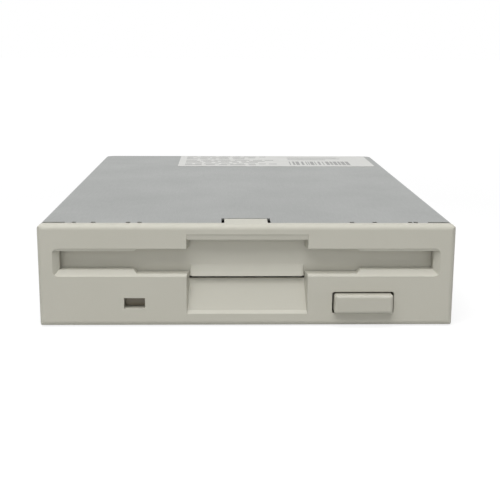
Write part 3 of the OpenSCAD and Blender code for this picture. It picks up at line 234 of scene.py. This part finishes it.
def laminate(name):
    """Glass-epoxy board under green solder mask: the copper tracks show as paler raised runs, along
    the board in some fields and across it in others."""
    mat, tree, spot = begin(name)
    field = add(tree, "ShaderNodeTexVoronoi", {
        "Vector": spot, "Scale": per(TRACK_FIELD)}, distance="CHEBYCHEV")
    pick = add(tree, "ShaderNodeSeparateColor", {"Color": field.outputs["Color"]})
    across = add(tree, "ShaderNodeMath", {
        0: pick.outputs["Red"], 1: 0.45}, operation="GREATER_THAN")
    turned = add(tree, "ShaderNodeMapping", {"Vector": spot, "Rotation": (0, 0, math.pi / 2)})
    # Rows of tracks 1.5 mm apart, 0.4 mm wide, with a cross link every 9 mm
    rows = [add(tree, "ShaderNodeTexBrick", {
        "Vector": way, "Scale": per(1), "Mortar Size": 0.2, "Mortar Smooth": 0.15,
        "Brick Width": 9.0, "Row Height": 1.5}) for way in (spot, turned.outputs["Vector"])]
    track = add(tree, "ShaderNodeMix", {
        "Factor": across.outputs["Value"], NUMBER_A: rows[0].outputs["Fac"],
        NUMBER_B: rows[1].outputs["Fac"]})
    tone = add(tree, "ShaderNodeMix", {
        "Factor": track.outputs[NUMBER_OUT], COLOUR_A: lin("#1C5136"), COLOUR_B: lin("#2E6E49")},
        data_type="RGBA")
    weave = add(tree, "ShaderNodeTexNoise", {"Vector": spot, "Scale": per(0.6), "Detail": 2.0})
    relief = add(tree, "ShaderNodeMath", {
        0: track.outputs[NUMBER_OUT], 1: 1.0, 2: weave.outputs["Fac"]}, operation="MULTIPLY_ADD")
    gloss = add(tree, "ShaderNodeMapRange", {
        "Value": weave.outputs["Fac"], "To Min": 0.24, "To Max": 0.42})
    bump = add(tree, "ShaderNodeBump", {
        "Strength": 0.6, "Distance": 0.03 * MM, "Height": relief.outputs["Value"]})
    body = add(tree, "ShaderNodeBsdfPrincipled", {
        "Base Color": tone.outputs[COLOUR_OUT], "Roughness": gloss.outputs["Result"],
        "IOR": MASK_IOR, "Normal": bump.outputs["Normal"]})
    add(tree, "ShaderNodeOutputMaterial", {"Surface": body.outputs["BSDF"]})
    return mat


def sheet(name, base, mark, grain, rough, lines=0.0):
    """Paper or film: an even sheet with faint marks, and with etched lines where their pitch is
    given. grain and lines are in mm."""
    mat, tree, spot = begin(name)
    marks = add(tree, "ShaderNodeTexNoise", {
        "Vector": spot, "Scale": per(grain * MARK_TO_GRAIN), "Detail": 6.0})
    tone = add(tree, "ShaderNodeMix", {
        "Factor": marks.outputs["Fac"], COLOUR_A: lin(base), COLOUR_B: lin(mark)}, data_type="RGBA")
    fibre = add(tree, "ShaderNodeTexNoise", {"Vector": spot, "Scale": per(grain), "Detail": 3.0})
    height = fibre.outputs["Fac"]
    colour = tone.outputs[COLOUR_OUT]
    if lines:
        # Wave Texture repeats every pi / 10 of its own unit
        wave = add(tree, "ShaderNodeTexWave", {
            "Vector": spot, "Scale": per(lines) * math.pi / 10})
        height = wave.outputs["Fac"]
        etched = add(tree, "ShaderNodeMix", {
            "Factor": height, COLOUR_A: colour, COLOUR_B: lin(mark)}, data_type="RGBA")
        colour = etched.outputs[COLOUR_OUT]
    gloss = add(tree, "ShaderNodeMapRange", {
        "Value": fibre.outputs["Fac"], "To Min": rough - 0.08, "To Max": rough + 0.08})
    bump = add(tree, "ShaderNodeBump", {"Strength": 0.3, "Distance": 0.01 * MM, "Height": height})
    body = add(tree, "ShaderNodeBsdfPrincipled", {
        "Base Color": colour, "Roughness": gloss.outputs["Result"], "IOR": FILM_IOR,
        "Normal": bump.outputs["Normal"]})
    add(tree, "ShaderNodeOutputMaterial", {"Surface": body.outputs["BSDF"]})
    return mat


# Glass-epoxy circuit board under solder mask: glossy deep green with paler tracks.
fr4_board = laminate("glass_epoxy_board")
# Coated label paper: soft white, hardly any sheen, with a few grey handling marks.
label_paper = sheet("paper_coated_label", "#D6D6D3", "#CCCCC8",
                    grain=0.3, rough=0.5)
# Thermal-transfer ink: grey rather than black, slightly uneven.
label_ink = sheet("ink_thermal_transfer", "#949492", "#868684",
                  grain=0.25, rough=0.45)
# Polyimide film with its etched copper lines 0.8 mm apart: amber and glossy.
polyimide = sheet("polyimide_ribbon", "#B4731F", "#8F5514",
                  grain=0.4, rough=0.3, lines=0.8)
# Tinted acrylic lamp lens: smoky brown, unlit.
lamp_acrylic = moulded("acrylic_lamp_smoke", "#857D6C", "#7A7261",
                       grain=0.8, rough=0.2, depth=0.004)

skin = {
    bezel_abs: ["front_bezel"],
    button_abs: ["eject_button"],
    flap_styrene: ["dust_flap"],
    black_nylon: ["head_carriage", "data_connector", "switch_bodies", "track_zero_sensor"],
    chip_epoxy: ["motor_driver_chip", "index_sensor", "control_chips"],
    natural_nylon: ["power_connector", "link_connectors", "write_protect_plunger",
                    "density_plunger", "disk_in_plunger"],
    zinc_sheet: ["top_cover"],
    zinc_stamping: ["slide_plate", "disk_holder", "stepper_bracket", "stepper_motor", "rotor_cup",
                    "upper_arm", "latch_lever"],
    ground_steel: ["flap_pin", "holder_guide_pins", "lever_pivot", "spindle_hub", "drive_pin",
                   "lead_screw", "screw_follower", "arm_pivot_pin", "guide_rod", "board_screws",
                   "bracket_screws", "capacitors"],
    spring_wire: ["flap_spring", "slide_springs", "lever_spring", "head_load_spring"],
    cast_frame: ["chassis_frame"],
    core_steel: ["stator_core"],
    copper_wire: ["stator_coils"],
    bronze: ["spindle_bush", "lead_bearing"],
    gold_flash: ["data_pins", "power_pins"],
    ferrite: ["ring_magnet", "chuck_magnet", "lower_head", "upper_head"],
    fr4_board: ["motor_board", "main_board"],
    label_paper: ["rating_label"],
    lamp_acrylic: ["activity_lamp"],
    polyimide: ["board_link_cable", "head_flex"],
}
for mat, names in skin.items():
    for name in names:
        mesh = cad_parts[name].data
        mesh.materials.clear()
        mesh.materials.append(mat)


# Fine pieces

# Places that several pieces share, in mm
HINGE_Y, HINGE_Z = 4.8, 20.7
SHAFT_X, SHAFT_Z = -24, 14.2
SPINDLE_Y = 56
BOARD_TOP, BOARD_UNDERSIDE = 3.2, 1.6
# What hangs under a board starts at this height, just inside it
ROOT = BOARD_UNDERSIDE + 0.02
BOARD_SCREWS = [(x, y) for x in (-39, 39) for y in (28, 83, 96, 121)]


def keep(bm, name, body, mats, replaced=(), sharp=35):
    """Makes the finished mesh an object that rides on a body, if one is named, and takes the given
    materials. Edges that turn by more than sharp degrees stay sharp."""
    bmesh.ops.recalc_face_normals(bm, faces=bm.faces)
    mesh = bpy.data.meshes.new(name)
    bm.to_mesh(mesh)
    bm.free()
    for mat in mats:
        mesh.materials.append(mat)
    mesh.shade_smooth()
    mesh.set_sharp_from_angle(angle=math.radians(sharp))
    piece = bpy.data.objects.new(name, mesh)
    bpy.context.collection.objects.link(piece)
    if body:
        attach(piece, body)
    if replaced:
        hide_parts(*replaced)
    return piece


def around(verts):
    """The edges and faces that hang on some vertices."""
    return {e for v in verts for e in v.link_edges}, {f for v in verts for f in v.link_faces}


def points(geom):
    """The vertices in what an operator returns."""
    return [v for v in geom if isinstance(v, bmesh.types.BMVert)]


def row(middle, count, pitch):
    """Places at an even pitch on both sides of a middle."""
    return [middle + (k - (count - 1) / 2) * pitch for k in range(count)]


def block(bm, low, high, radius=0.0, mat=0):
    """A block between two corners in mm, with edges rounded to a radius in mm."""
    low, high = at(*low), at(*high)
    shape = Matrix.LocRotScale((low + high) / 2, None, high - low)
    edges, faces = around(bmesh.ops.create_cube(bm, size=1, matrix=shape)["verts"])
    for face in faces:
        face.material_index = mat
    if radius:
        bmesh.ops.bevel(bm, geom=list(edges), offset=radius * MM, segments=2, profile=0.5,
                        affect="EDGES", material=-1)


def rod(bm, low, high, radius, sides=24, tip=None):
    """A round bar between two points in mm; tip is the radius at its far end where that differs."""
    low, high = at(*low), at(*high)
    turn = (high - low).to_track_quat("Z", "Y").to_matrix().to_4x4()
    bmesh.ops.create_cone(
        bm, cap_ends=True, segments=sides, radius1=radius * MM, depth=(high - low).length,
        radius2=(radius if tip is None else tip) * MM,
        matrix=Matrix.Translation((low + high) / 2) @ turn)


def prism(bm, outline, left, right):
    """Pulls an outline of (y, z) points along x, all in mm."""
    face = bm.faces.new([bm.verts.new(at(left, y, z)) for y, z in outline])
    grown = bmesh.ops.extrude_face_region(bm, geom=[face])["geom"]
    bmesh.ops.translate(bm, vec=X * (right - left) * MM, verts=points(grown))


def lathe(bm, start, axis, outline, sides=48):
    """Turns an outline of (radius, distance along the axis) points in mm round an axis."""
    before, side = set(bm.verts), axis.orthogonal().normalized()
    verts = [bm.verts.new(at(*start) + (side * r + axis * d) * MM) for r, d in outline]
    edges = [bm.edges.new(pair) for pair in zip(verts, verts[1:])]
    bmesh.ops.spin(bm, geom=verts + edges, cent=at(*start), axis=axis, angle=2 * math.pi,
                   steps=sides, use_merge=True)
    turned = [v for v in bm.verts if v not in before]
    bmesh.ops.remove_doubles(bm, verts=turned, dist=0.001 * MM)


def coil(bm, start, axis, radius, section, turns, pitch, side=None, steps=18):
    """Winds a section of (out, along) points in mm round an axis, climbing by pitch each turn. side
    is where it starts, and steps is how many a turn has."""
    side = side or axis.orthogonal().normalized()
    verts = [bm.verts.new(at(*start) + (side * (radius + out) + axis * along) * MM)
             for out, along in section]
    face = bm.faces.new(verts)
    edges = list(face.edges)
    count = round(turns * steps)
    bmesh.ops.spin(bm, geom=verts + edges + [face], cent=at(*start), axis=axis,
                   angle=turns * 2 * math.pi, dvec=axis * (turns * pitch * MM / count), steps=count)


def wire(thick):
    """The round section of a wire in mm."""
    angles = [k * math.pi / 4 for k in range(8)]
    return [(thick / 2 * math.cos(a), thick / 2 * math.sin(a)) for a in angles]


def gull_wing(bm, x, y, out, half, shoulder, leg, foot):
    """A chip's lead from its root at x, y: a shoulder, a leg and a foot, each given by its lowest
    and highest z. out is the way that it points, and half is half its width, all in mm."""
    half_x, half_y = half * abs(out[1]), half * abs(out[0])
    for near, far, (low, high) in ((-0.1, 0.5, shoulder), (0.4, 0.55, leg), (0.4, 1.2, foot)):
        block(bm, (x + out[0] * near - half_x, y + out[1] * near - half_y, low),
              (x + out[0] * far + half_x, y + out[1] * far + half_y, high))


# Dust flap: a thin plate on its hinge barrel, whose middle bends forward into the finger notch
FLAP_HALF, FLAP_FRONT, BEND_HALF = 46.2, 3.7, 14.05
flap = bmesh.new()
block(flap, (-FLAP_HALF, FLAP_FRONT, 11.8), (FLAP_HALF, 4.7, 20.6), 0.2)
# The barrel leaves a gap for the spring
for left, right in ((-FLAP_HALF, 31.9), (35.9, FLAP_HALF)):
    rod(flap, (left, HINGE_Y, HINGE_Z), (right, HINGE_Y, HINGE_Z), 1.1)
plate = set(flap.verts)
bend = [(4.6, 15), (3.72, 15), (3.62, 14.55), (2.32, 12.22), (2.27, 12.06), (2.45, 12), (4.6, 12)]
prism(flap, bend, -BEND_HALF, BEND_HALF)
# The two ends of the bend are rounded off
swell = around([v for v in flap.verts if v not in plate])[0]
ends = [e for e in swell if max(v.co.y for v in e.verts) < at(0, FLAP_FRONT, 0).y
        and e.verts[0].co.x == e.verts[1].co.x]
bmesh.ops.bevel(flap, geom=ends, offset=0.7 * MM, segments=4, profile=0.5, affect="EDGES",
                material=-1)
# Stiffening ribs on the back, clear of the spring's leg
for x in (-40, -22, -7, 7, 22, 40):
    block(flap, (x - 0.4, 4.6, 12.6), (x + 0.4, 5.2, 19.8), 0.1)
keep(flap, "flap_shell", "flap", [flap_styrene], ["dust_flap"])

# Flap spring: wound round the hinge, with a leg down the back of the flap
wound = bmesh.new()
coil(wound, (32.35, HINGE_Y, HINGE_Z), X, radius=0.82, section=wire(0.3), turns=7.5, pitch=0.4)
rod(wound, (35.25, 4.95, 20.0), (35.25, 4.85, 13.8), 0.15, sides=8)
keep(wound, "flap_spring_wire", "flap", [spring_wire], ["flap_spring"])

# Slide springs: open coils between two straight ends
SPRING_FRONT, SPRING_REAR, SPRING_Z = 31.05, 46.95, 5.4
wound = bmesh.new()
for x in (-32.5, 32.5):
    coil(wound, (x, 32.6, SPRING_Z), Y, radius=1.15, section=wire(0.46), turns=20, pitch=0.645)
    for low, high in ((SPRING_FRONT, 32.9), (45.3, SPRING_REAR)):
        rod(wound, (x, low, SPRING_Z), (x, high, SPRING_Z), 0.23, sides=8)
drawn = keep(wound, "slide_spring_wire", "chassis", [spring_wire],
             ["slide_springs"])
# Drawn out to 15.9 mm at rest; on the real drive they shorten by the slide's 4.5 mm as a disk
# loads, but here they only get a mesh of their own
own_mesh(drawn)

# Lever spring: wound round the lever's pivot
wound = bmesh.new()
coil(wound, (38.5, 94, 20.35), Z, radius=1.98, section=wire(0.5), turns=5, pitch=0.5)
keep(wound, "lever_spring_wire", "lever", [spring_wire], ["lever_spring"])

# Head load spring: wound round the arm's pivot, with a leg along the arm
wound = bmesh.new()
coil(wound, (4.4, 127, 15.8), X, radius=1.35, section=wire(0.44), turns=4.5, pitch=0.46)
rod(wound, (4.7, 126.14, 16.75), (4.7, 115.27, 18.47), 0.2, sides=8)
keep(wound, "head_spring_wire", "head_arm", [spring_wire], ["head_load_spring"])

# Head ribbon: one loop of film from the board up to the carriage. On the real drive the carriage
# draws its upper end along; here the loop rides on no body and stays still
RIBBON_Y, FILM_WIDE, FILM_THICK = 130.53, 7.02, 0.25
film = [(0, 0), (0, FILM_WIDE), (-FILM_THICK, FILM_WIDE), (-FILM_THICK, 0)]
ribbon = bmesh.new()
coil(ribbon, (-12.5, RIBBON_Y, 7.8), X, radius=4.6, section=film, turns=0.5, pitch=0, side=-Z,
     steps=64)
loop = keep(ribbon, "head_ribbon", None, [polyimide], ["head_flex"])
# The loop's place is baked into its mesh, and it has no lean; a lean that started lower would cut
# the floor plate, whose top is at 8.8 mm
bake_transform(loop)

# Lead screw with its rolled helical groove, which meets the carriage's follower at y 122
SCREW_FRONT, SCREW_REAR, SCREW_PITCH = 104.3, 128.6, 3.75
crest = [(0, -1.25), (0.45, -0.85), (0.45, 0.85), (0, 1.25)]
screw = bmesh.new()
rod(screw, (SHAFT_X, SCREW_FRONT, SHAFT_Z), (SHAFT_X, SCREW_REAR, SHAFT_Z), 1.12)
coil(screw, (SHAFT_X, 107, SHAFT_Z), Y, radius=1.05, section=crest, turns=4.4, pitch=SCREW_PITCH,
     side=-X, steps=24)
# Its two ends are plain
for low, high in ((SCREW_FRONT, 105.4), (124, SCREW_REAR)):
    rod(screw, (SHAFT_X, low, SHAFT_Z), (SHAFT_X, high, SHAFT_Z), 1.49)
keep(screw, "lead_screw_thread", "screw", [ground_steel], ["lead_screw"])

# Stepper motor: two drawn cups with a seam between them, a bored nose and a bearing boss behind
motor = bmesh.new()
lathe(motor, (SHAFT_X, 123.4, SHAFT_Z), Y, [
    (0, 5.6), (1.7, 5.6), (1.7, 0), (2.7, 0), (3, 0.3), (3, 1.6), (8.5, 1.6), (8.85, 1.75),
    (9, 2.1), (9, 6.4), (8.9, 6.55), (8.6, 6.6), (8.6, 7), (8.9, 7.05), (9, 7.2), (9, 11.5),
    (8.85, 11.85), (8.5, 12), (5, 12), (4.8, 11.8), (4.6, 11.4), (2.6, 11.4), (2.4, 11.5),
    (2.3, 11.9), (2.1, 12), (1.1, 12), (1, 11.7), (0, 11.7)], sides=64)
keep(motor, "stepper_cups", "chassis", [zinc_stamping], ["stepper_motor"])

# Chip capacitors: a drawn can on a black base, with a printed bar that marks the polarity
CAN_Y, BASE_HALF = 117, 2.15
cans = bmesh.new()
for x in (-9, 25, 31):
    block(cans, (x - BASE_HALF, CAN_Y - BASE_HALF, BOARD_TOP),
          (x + BASE_HALF, CAN_Y + BASE_HALF, 4), 0.2, mat=1)
    lathe(cans, (x, CAN_Y, 3.9), Z, [
        (0, 0), (1.95, 0), (2, 0.1), (2, 0.35), (1.82, 0.5), (1.82, 0.62), (2, 0.78), (2, 2.8),
        (1.93, 3), (1.75, 3.1), (0, 3.1)], sides=28)
    block(cans, (x - 1.4, CAN_Y + 0.7, 6.98), (x + 1.4, CAN_Y + 1, 7.01), mat=1)
keep(cans, "capacitor_cans", "chassis", [ground_steel, chip_epoxy], ["capacitors"])

# Leads of the chips on the boards: middle, size along x and y, leads on the x and y sides
TOP_CHIPS = ((-20.025, 104.5, 12, 12, 11, 11), (2, 104.5, 8, 10, 9, 0), (32.025, 109.5, 9, 7, 0, 8),
             (31.525, 68, 8, 11, 10, 0))
TOP_PITCH = 1.0
TOP_LEAD = {"half": 0.18, "shoulder": (3.95, 4.1), "leg": (3.22, 4.1), "foot": (3.22, 3.36)}
leads = bmesh.new()
for x, y, wide, deep, on_x, on_y in TOP_CHIPS:
    for side in (-1, 1):
        for mid in row(y, on_x, TOP_PITCH):
            gull_wing(leads, x + side * wide / 2, mid, (side, 0), **TOP_LEAD)
        for mid in row(x, on_y, TOP_PITCH):
            gull_wing(leads, mid, y + side * deep / 2, (0, side), **TOP_LEAD)
keep(leads, "chip_leads", "chassis", [solder])

# Board screws: pan heads with a tapered cross recess, seen from below
HEAD_RADIUS, HEAD_TALL, HEAD_LOW, HEAD_EDGE, ROUND_FROM = 2.2, 1.2, 0.4, 0.5, 1.5
CROSS_REACH, CROSS_HALF, CROSS_DEEP, CROSS_TAPER = 1.4, 0.2, 0.75, 0.75
head = bmesh.new()
grid = bmesh.ops.create_grid(head, x_segments=7, y_segments=7, size=HEAD_RADIUS * MM)["verts"]
cross = []
for face in head.faces:
    middle = face.calc_center_median()
    if middle.length < CROSS_REACH * MM and min(abs(middle.x), abs(middle.y)) < CROSS_HALF * MM:
        cross.append(face)
for v in grid:
    # The grid's outer rings become circles
    ring = max(abs(v.co.x), abs(v.co.y))
    if ring > ROUND_FROM * MM:
        v.co *= ring / v.co.length
rim = [e for e in head.edges if e.is_boundary]
wall = bmesh.ops.extrude_edge_only(head, edges=rim)["geom"]
bmesh.ops.translate(head, vec=Z * HEAD_TALL * MM, verts=points(wall))
bmesh.ops.bevel(head, geom=rim, offset=HEAD_EDGE * MM, segments=4, profile=0.5, affect="EDGES",
                material=-1)
recess = points(bmesh.ops.extrude_face_region(head, geom=cross)["geom"])
bmesh.ops.delete(head, geom=cross, context="FACES")
bmesh.ops.scale(head, vec=(CROSS_TAPER, CROSS_TAPER, 1), verts=recess)
bmesh.ops.translate(head, vec=Z * CROSS_DEEP * MM, verts=recess)
bmesh.ops.holes_fill(head, edges=[e for e in head.edges if e.is_boundary], sides=0)
pan_head = bpy.data.meshes.new("pan_head")
head.to_mesh(pan_head)
head.free()
screws = bmesh.new()
for x, y in BOARD_SCREWS:
    before = set(screws.verts)
    screws.from_mesh(pan_head)
    added = [v for v in screws.verts if v not in before]
    bmesh.ops.translate(screws, vec=at(x, y, HEAD_LOW), verts=added)
    rod(screws, (x, y, 1.58), (x, y, 7.2), 0.98, sides=16)
bpy.data.meshes.remove(pan_head)
keep(screws, "board_screw_heads", "chassis", [ground_steel], ["board_screws"],
     sharp=30)

# Soldered pins under the boards: data, power, link cable and coils
PIN_PITCH, LINK_PITCH, REAR_ROW, LINK_ROWS, COIL_RING = 2.54, 1.0, 131.72, (85.6, 93.4), 14
beads = bmesh.new()
joints = [(x, y) for x in row(22.6, 17, PIN_PITCH) for y in (REAR_ROW, REAR_ROW - 2)]
joints += [(x, REAR_ROW) for x in row(-38, 4, PIN_PITCH)]
joints += [(x, y) for x in row(29.5, 9, LINK_PITCH) for y in LINK_ROWS]
joints += [(COIL_RING * math.cos(a), SPINDLE_Y + COIL_RING * math.sin(a))
           for a in (k * math.pi / 3 + 0.3 for k in range(6))]
for x, y in joints:
    rod(beads, (x, y, ROOT), (x, y, 0.95), 0.38 if y in LINK_ROWS else 0.7, sides=10, tip=0.3)
    rod(beads, (x, y, 1.0), (x, y, 0.75), 0.28, sides=8)
keep(beads, "solder_joints", "chassis", [solder])

# Small parts under the boards: chip resistors and capacitors, and two flat chips. Each place that
# is taken has a radius to keep clear.
GRID, CLEAR = 1.5, 2.9
PART_SIZES = ((2.0, 1.25, 0.55), (1.6, 0.8, 0.45), (2.0, 1.25, 0.9))
# Lowest and highest x, y of the motor board's and the main board's parts, and their number
FIELDS = (((-40, 13), (40, 85), 46), ((-40, 94), (40, 133), 44))
# The motor board is cut away behind the button, right and in front of this corner
CUT_X, CUT_Y = 17, 23
# Flat chips: middle, size along x and y, leads on each long side
UNDER_CHIPS = ((-14, 106, 10, 7.4, 8), (14, 30, 9, 6, 7))
UNDER_PITCH = 1.27
UNDER_LEAD = {"half": 0.2, "shoulder": (0.95, 1.1), "leg": (1.0, BOARD_UNDERSIDE),
              "foot": (1.48, ROOT)}
small = bmesh.new()
random.seed(7)
taken = [(x, y, 4.2) for x, y in BOARD_SCREWS] + [(0, SPINDLE_Y, 17)]
taken += [(chip[0], chip[1], 9.5) for chip in UNDER_CHIPS] + [(x, y, 2.2) for x, y in joints]
for low, high, count in FIELDS:
    made = 0
    while made < count:
        # Parts stand on a grid, as a placement machine sets them
        x = round(random.uniform(low[0], high[0]) / GRID) * GRID
        y = round(random.uniform(low[1], high[1]) / GRID) * GRID
        if x > CUT_X and y < CUT_Y or any(math.hypot(x - a, y - b) < r for a, b, r in taken):
            continue
        taken.append((x, y, CLEAR))
        made += 1
        long, wide, tall = random.choice(PART_SIZES)
        along = random.random() < 0.6
        half = (long / 2, wide / 2) if along else (wide / 2, long / 2)
        # The tall ones are brown capacitors, the flat ones black resistors
        body = 2 if tall > 0.8 else 1
        block(small, (x - half[0] * 0.98, y - half[1] * 0.98, ROOT - tall),
              (x + half[0] * 0.98, y + half[1] * 0.98, ROOT), mat=body)
        for side in (-1, 1):
            mid = (x + side * long * 0.42, y) if along else (x, y + side * long * 0.42)
            cap = (long * 0.1, half[1]) if along else (half[0], long * 0.1)
            block(small, (mid[0] - cap[0], mid[1] - cap[1], BOARD_UNDERSIDE - tall),
                  (mid[0] + cap[0], mid[1] + cap[1], ROOT + 0.01))
for x, y, wide, deep, count in UNDER_CHIPS:
    block(small, (x - wide / 2, y - deep / 2, 0.35), (x + wide / 2, y + deep / 2, 1.5), 0.12, mat=1)
    for side in (-1, 1):
        for mid in row(x, count, UNDER_PITCH):
            gull_wing(small, mid, y + side * deep / 2, (0, side), **UNDER_LEAD)
keep(small, "board_small_parts", "chassis", [solder, chip_epoxy, bronze])

# Label print: plain rules and bars, sunk a little into the paper at 25.5 mm
INK_LOW, INK_HIGH, RIGHT_COLUMN = 25.49, 25.515, 17.8
ink = bmesh.new()
random.seed(11)
for line, y in enumerate((134.5, 131.5, 128.5, 124.5, 121.5, 118.5, 114, 111.5)):
    x = -19.5
    while x < 11 - (line % 3) * 5:
        wide = random.uniform(2, 6)
        block(ink, (x, y - 0.55, INK_LOW), (x + wide, y + 0.55, INK_HIGH))
        x += wide + random.uniform(0.8, 1.6)
x = RIGHT_COLUMN
while x < 39:
    wide = random.choice((0.4, 0.8, 1.2))
    block(ink, (x, 111.5, INK_LOW), (x + wide, 121, INK_HIGH))
    x += wide + random.choice((0.4, 0.8))
for y in (126, 129, 132):
    end = RIGHT_COLUMN + random.uniform(12, 24)
    block(ink, (RIGHT_COLUMN, y - 0.5, INK_LOW), (end, y + 0.5, INK_HIGH))
keep(ink, "label_print", "chassis", [label_ink])


# Camera, light and floor

# Lens and place were fitted to the drive's edges in the photo
camera = bpy.data.objects.new("camera", bpy.data.cameras.new("camera"))
bpy.context.collection.objects.link(camera)
camera.data.sensor_width = 36
camera.data.lens = 68.89
camera.location = at(-5.62, -226.31, 69.04)
camera.rotation_euler = [math.radians(a) for a in (77.571, -0.321, -1.508)]
camera.data.clip_start = 0.01
bpy.context.scene.camera = camera


def softbox(name, place, aim, size, watts, mirrored=True):
    """A square area light that faces a point, all in mm; metal shows it where it is mirrored."""
    light = bpy.data.lights.new(name, "AREA")
    light.size = size * MM
    light.energy = watts
    lamp = bpy.data.objects.new(name, light)
    lamp.location = at(*place)
    lamp.rotation_euler = (at(*aim) - at(*place)).to_track_quat("-Z", "Y").to_euler()
    lamp.visible_glossy = mirrored
    bpy.context.collection.objects.link(lamp)


# Metal mirrors only a weak part of the key light, so that no side of the cover flares
softbox("key", (-100, -310, 760), (0, 40, 10), size=700, watts=5.0, mirrored=False)
softbox("sheen", (-98, -302, 745), (0, 40, 10), size=700, watts=1.4)
softbox("top", (0, 120, 800), (0, 80, 0), size=700, watts=0.8)
softbox("fill", (-60, -700, 160), (0, 0, 12), size=500, watts=0.9, mirrored=False)

# Floor, in mm: half its width and how far it lies below the drive, what the drive hides of it, and
# between which distances it grows whiter
FLOOR_HALF, FLOOR_DROP = 3000, 0.2
HIDDEN_HALF_X, HIDDEN_HALF_Y, HIDDEN_FORWARD = 49, 67, 6
WHITER_FROM, WHITER_TO = 150, 700
floor_bm = bmesh.new()
bmesh.ops.create_grid(floor_bm, x_segments=1, y_segments=1, size=FLOOR_HALF * MM,
                      matrix=Matrix.Translation((0, 0, -FLOOR_DROP * MM)))
floor_mesh = bpy.data.meshes.new("floor")
floor_bm.to_mesh(floor_mesh)
floor_bm.free()
floor = bpy.data.objects.new("floor", floor_mesh)
bpy.context.collection.objects.link(floor)
# White sweep paper: to the eye an even white that still takes a faint shadow.
floor_mat, tree, spot = begin("paper_sweep_white")
ray = add(tree, "ShaderNodeLightPath", {})
seen = add(tree, "ShaderNodeMath", {
    0: ray.outputs["Is Camera Ray"], 1: ray.outputs["Is Glossy Ray"]}, operation="MAXIMUM")
paper = add(tree, "ShaderNodeBsdfDiffuse", {"Color": lin("#BEBEBC")})
veil = add(tree, "ShaderNodeBsdfDiffuse", {"Color": lin("#8A8A8A")})
# Under the drive the floor keeps its real darkness
shift = add(tree, "ShaderNodeMapping", {"Vector": spot, "Location": (0, HIDDEN_FORWARD * MM, 0)})
sides = add(tree, "ShaderNodeSeparateXYZ", {"Vector": shift.outputs["Vector"]})
wide = add(tree, "ShaderNodeMath", {
    0: sides.outputs["X"], 1: 0.0, 2: HIDDEN_HALF_X * MM}, operation="COMPARE")
deep = add(tree, "ShaderNodeMath", {
    0: sides.outputs["Y"], 1: 0.0, 2: HIDDEN_HALF_Y * MM}, operation="COMPARE")
under = add(tree, "ShaderNodeMath", {
    0: wide.outputs["Value"], 1: deep.outputs["Value"]}, operation="MULTIPLY")
# Away from the lamps the sweep makes up for their loss
away = add(tree, "ShaderNodeVectorMath", {0: spot}, operation="LENGTH")
white = add(tree, "ShaderNodeMapRange", {
    "Value": away.outputs["Value"], "From Min": WHITER_FROM * MM, "From Max": WHITER_TO * MM,
    "To Min": 0.78, "To Max": 1.0})
open_floor = add(tree, "ShaderNodeMapRange", {
    "Value": under.outputs["Value"], "To Min": white.outputs["Result"], "To Max": 0.0})
glow = add(tree, "ShaderNodeEmission", {
    "Color": (1, 1, 1, 1), "Strength": open_floor.outputs["Result"]})
bright = add(tree, "ShaderNodeAddShader", {0: veil.outputs["BSDF"], 1: glow.outputs["Emission"]})
lit = add(tree, "ShaderNodeMixShader", {
    0: seen.outputs["Value"], 1: paper.outputs["BSDF"], 2: bright.outputs["Shader"]})
add(tree, "ShaderNodeOutputMaterial", {"Surface": lit.outputs["Shader"]})
floor_mesh.materials.append(floor_mat)

# The studio: white to the eye and in metal and glass, and a faint light from all round
world = bpy.data.worlds.new("studio")
bpy.context.scene.world = world
world.use_nodes = True
sky = world.node_tree
sky.nodes.clear()
ray = add(sky, "ShaderNodeLightPath", {})
seen = add(sky, "ShaderNodeMath", {
    0: ray.outputs["Is Camera Ray"], 1: ray.outputs["Is Glossy Ray"]}, operation="MAXIMUM")
clear = add(sky, "ShaderNodeMath", {
    0: seen.outputs["Value"], 1: ray.outputs["Is Transmission Ray"]}, operation="MAXIMUM")
level = add(sky, "ShaderNodeMapRange", {
    "Value": clear.outputs["Value"], "To Min": 0.2, "To Max": 1.0})
back = add(sky, "ShaderNodeBackground", {
    "Color": (1, 1, 1, 1), "Strength": level.outputs["Result"]})
add(sky, "ShaderNodeOutputWorld", {"Surface": back.outputs["Background"]})
bpy.context.scene.view_settings.view_transform = "Standard"
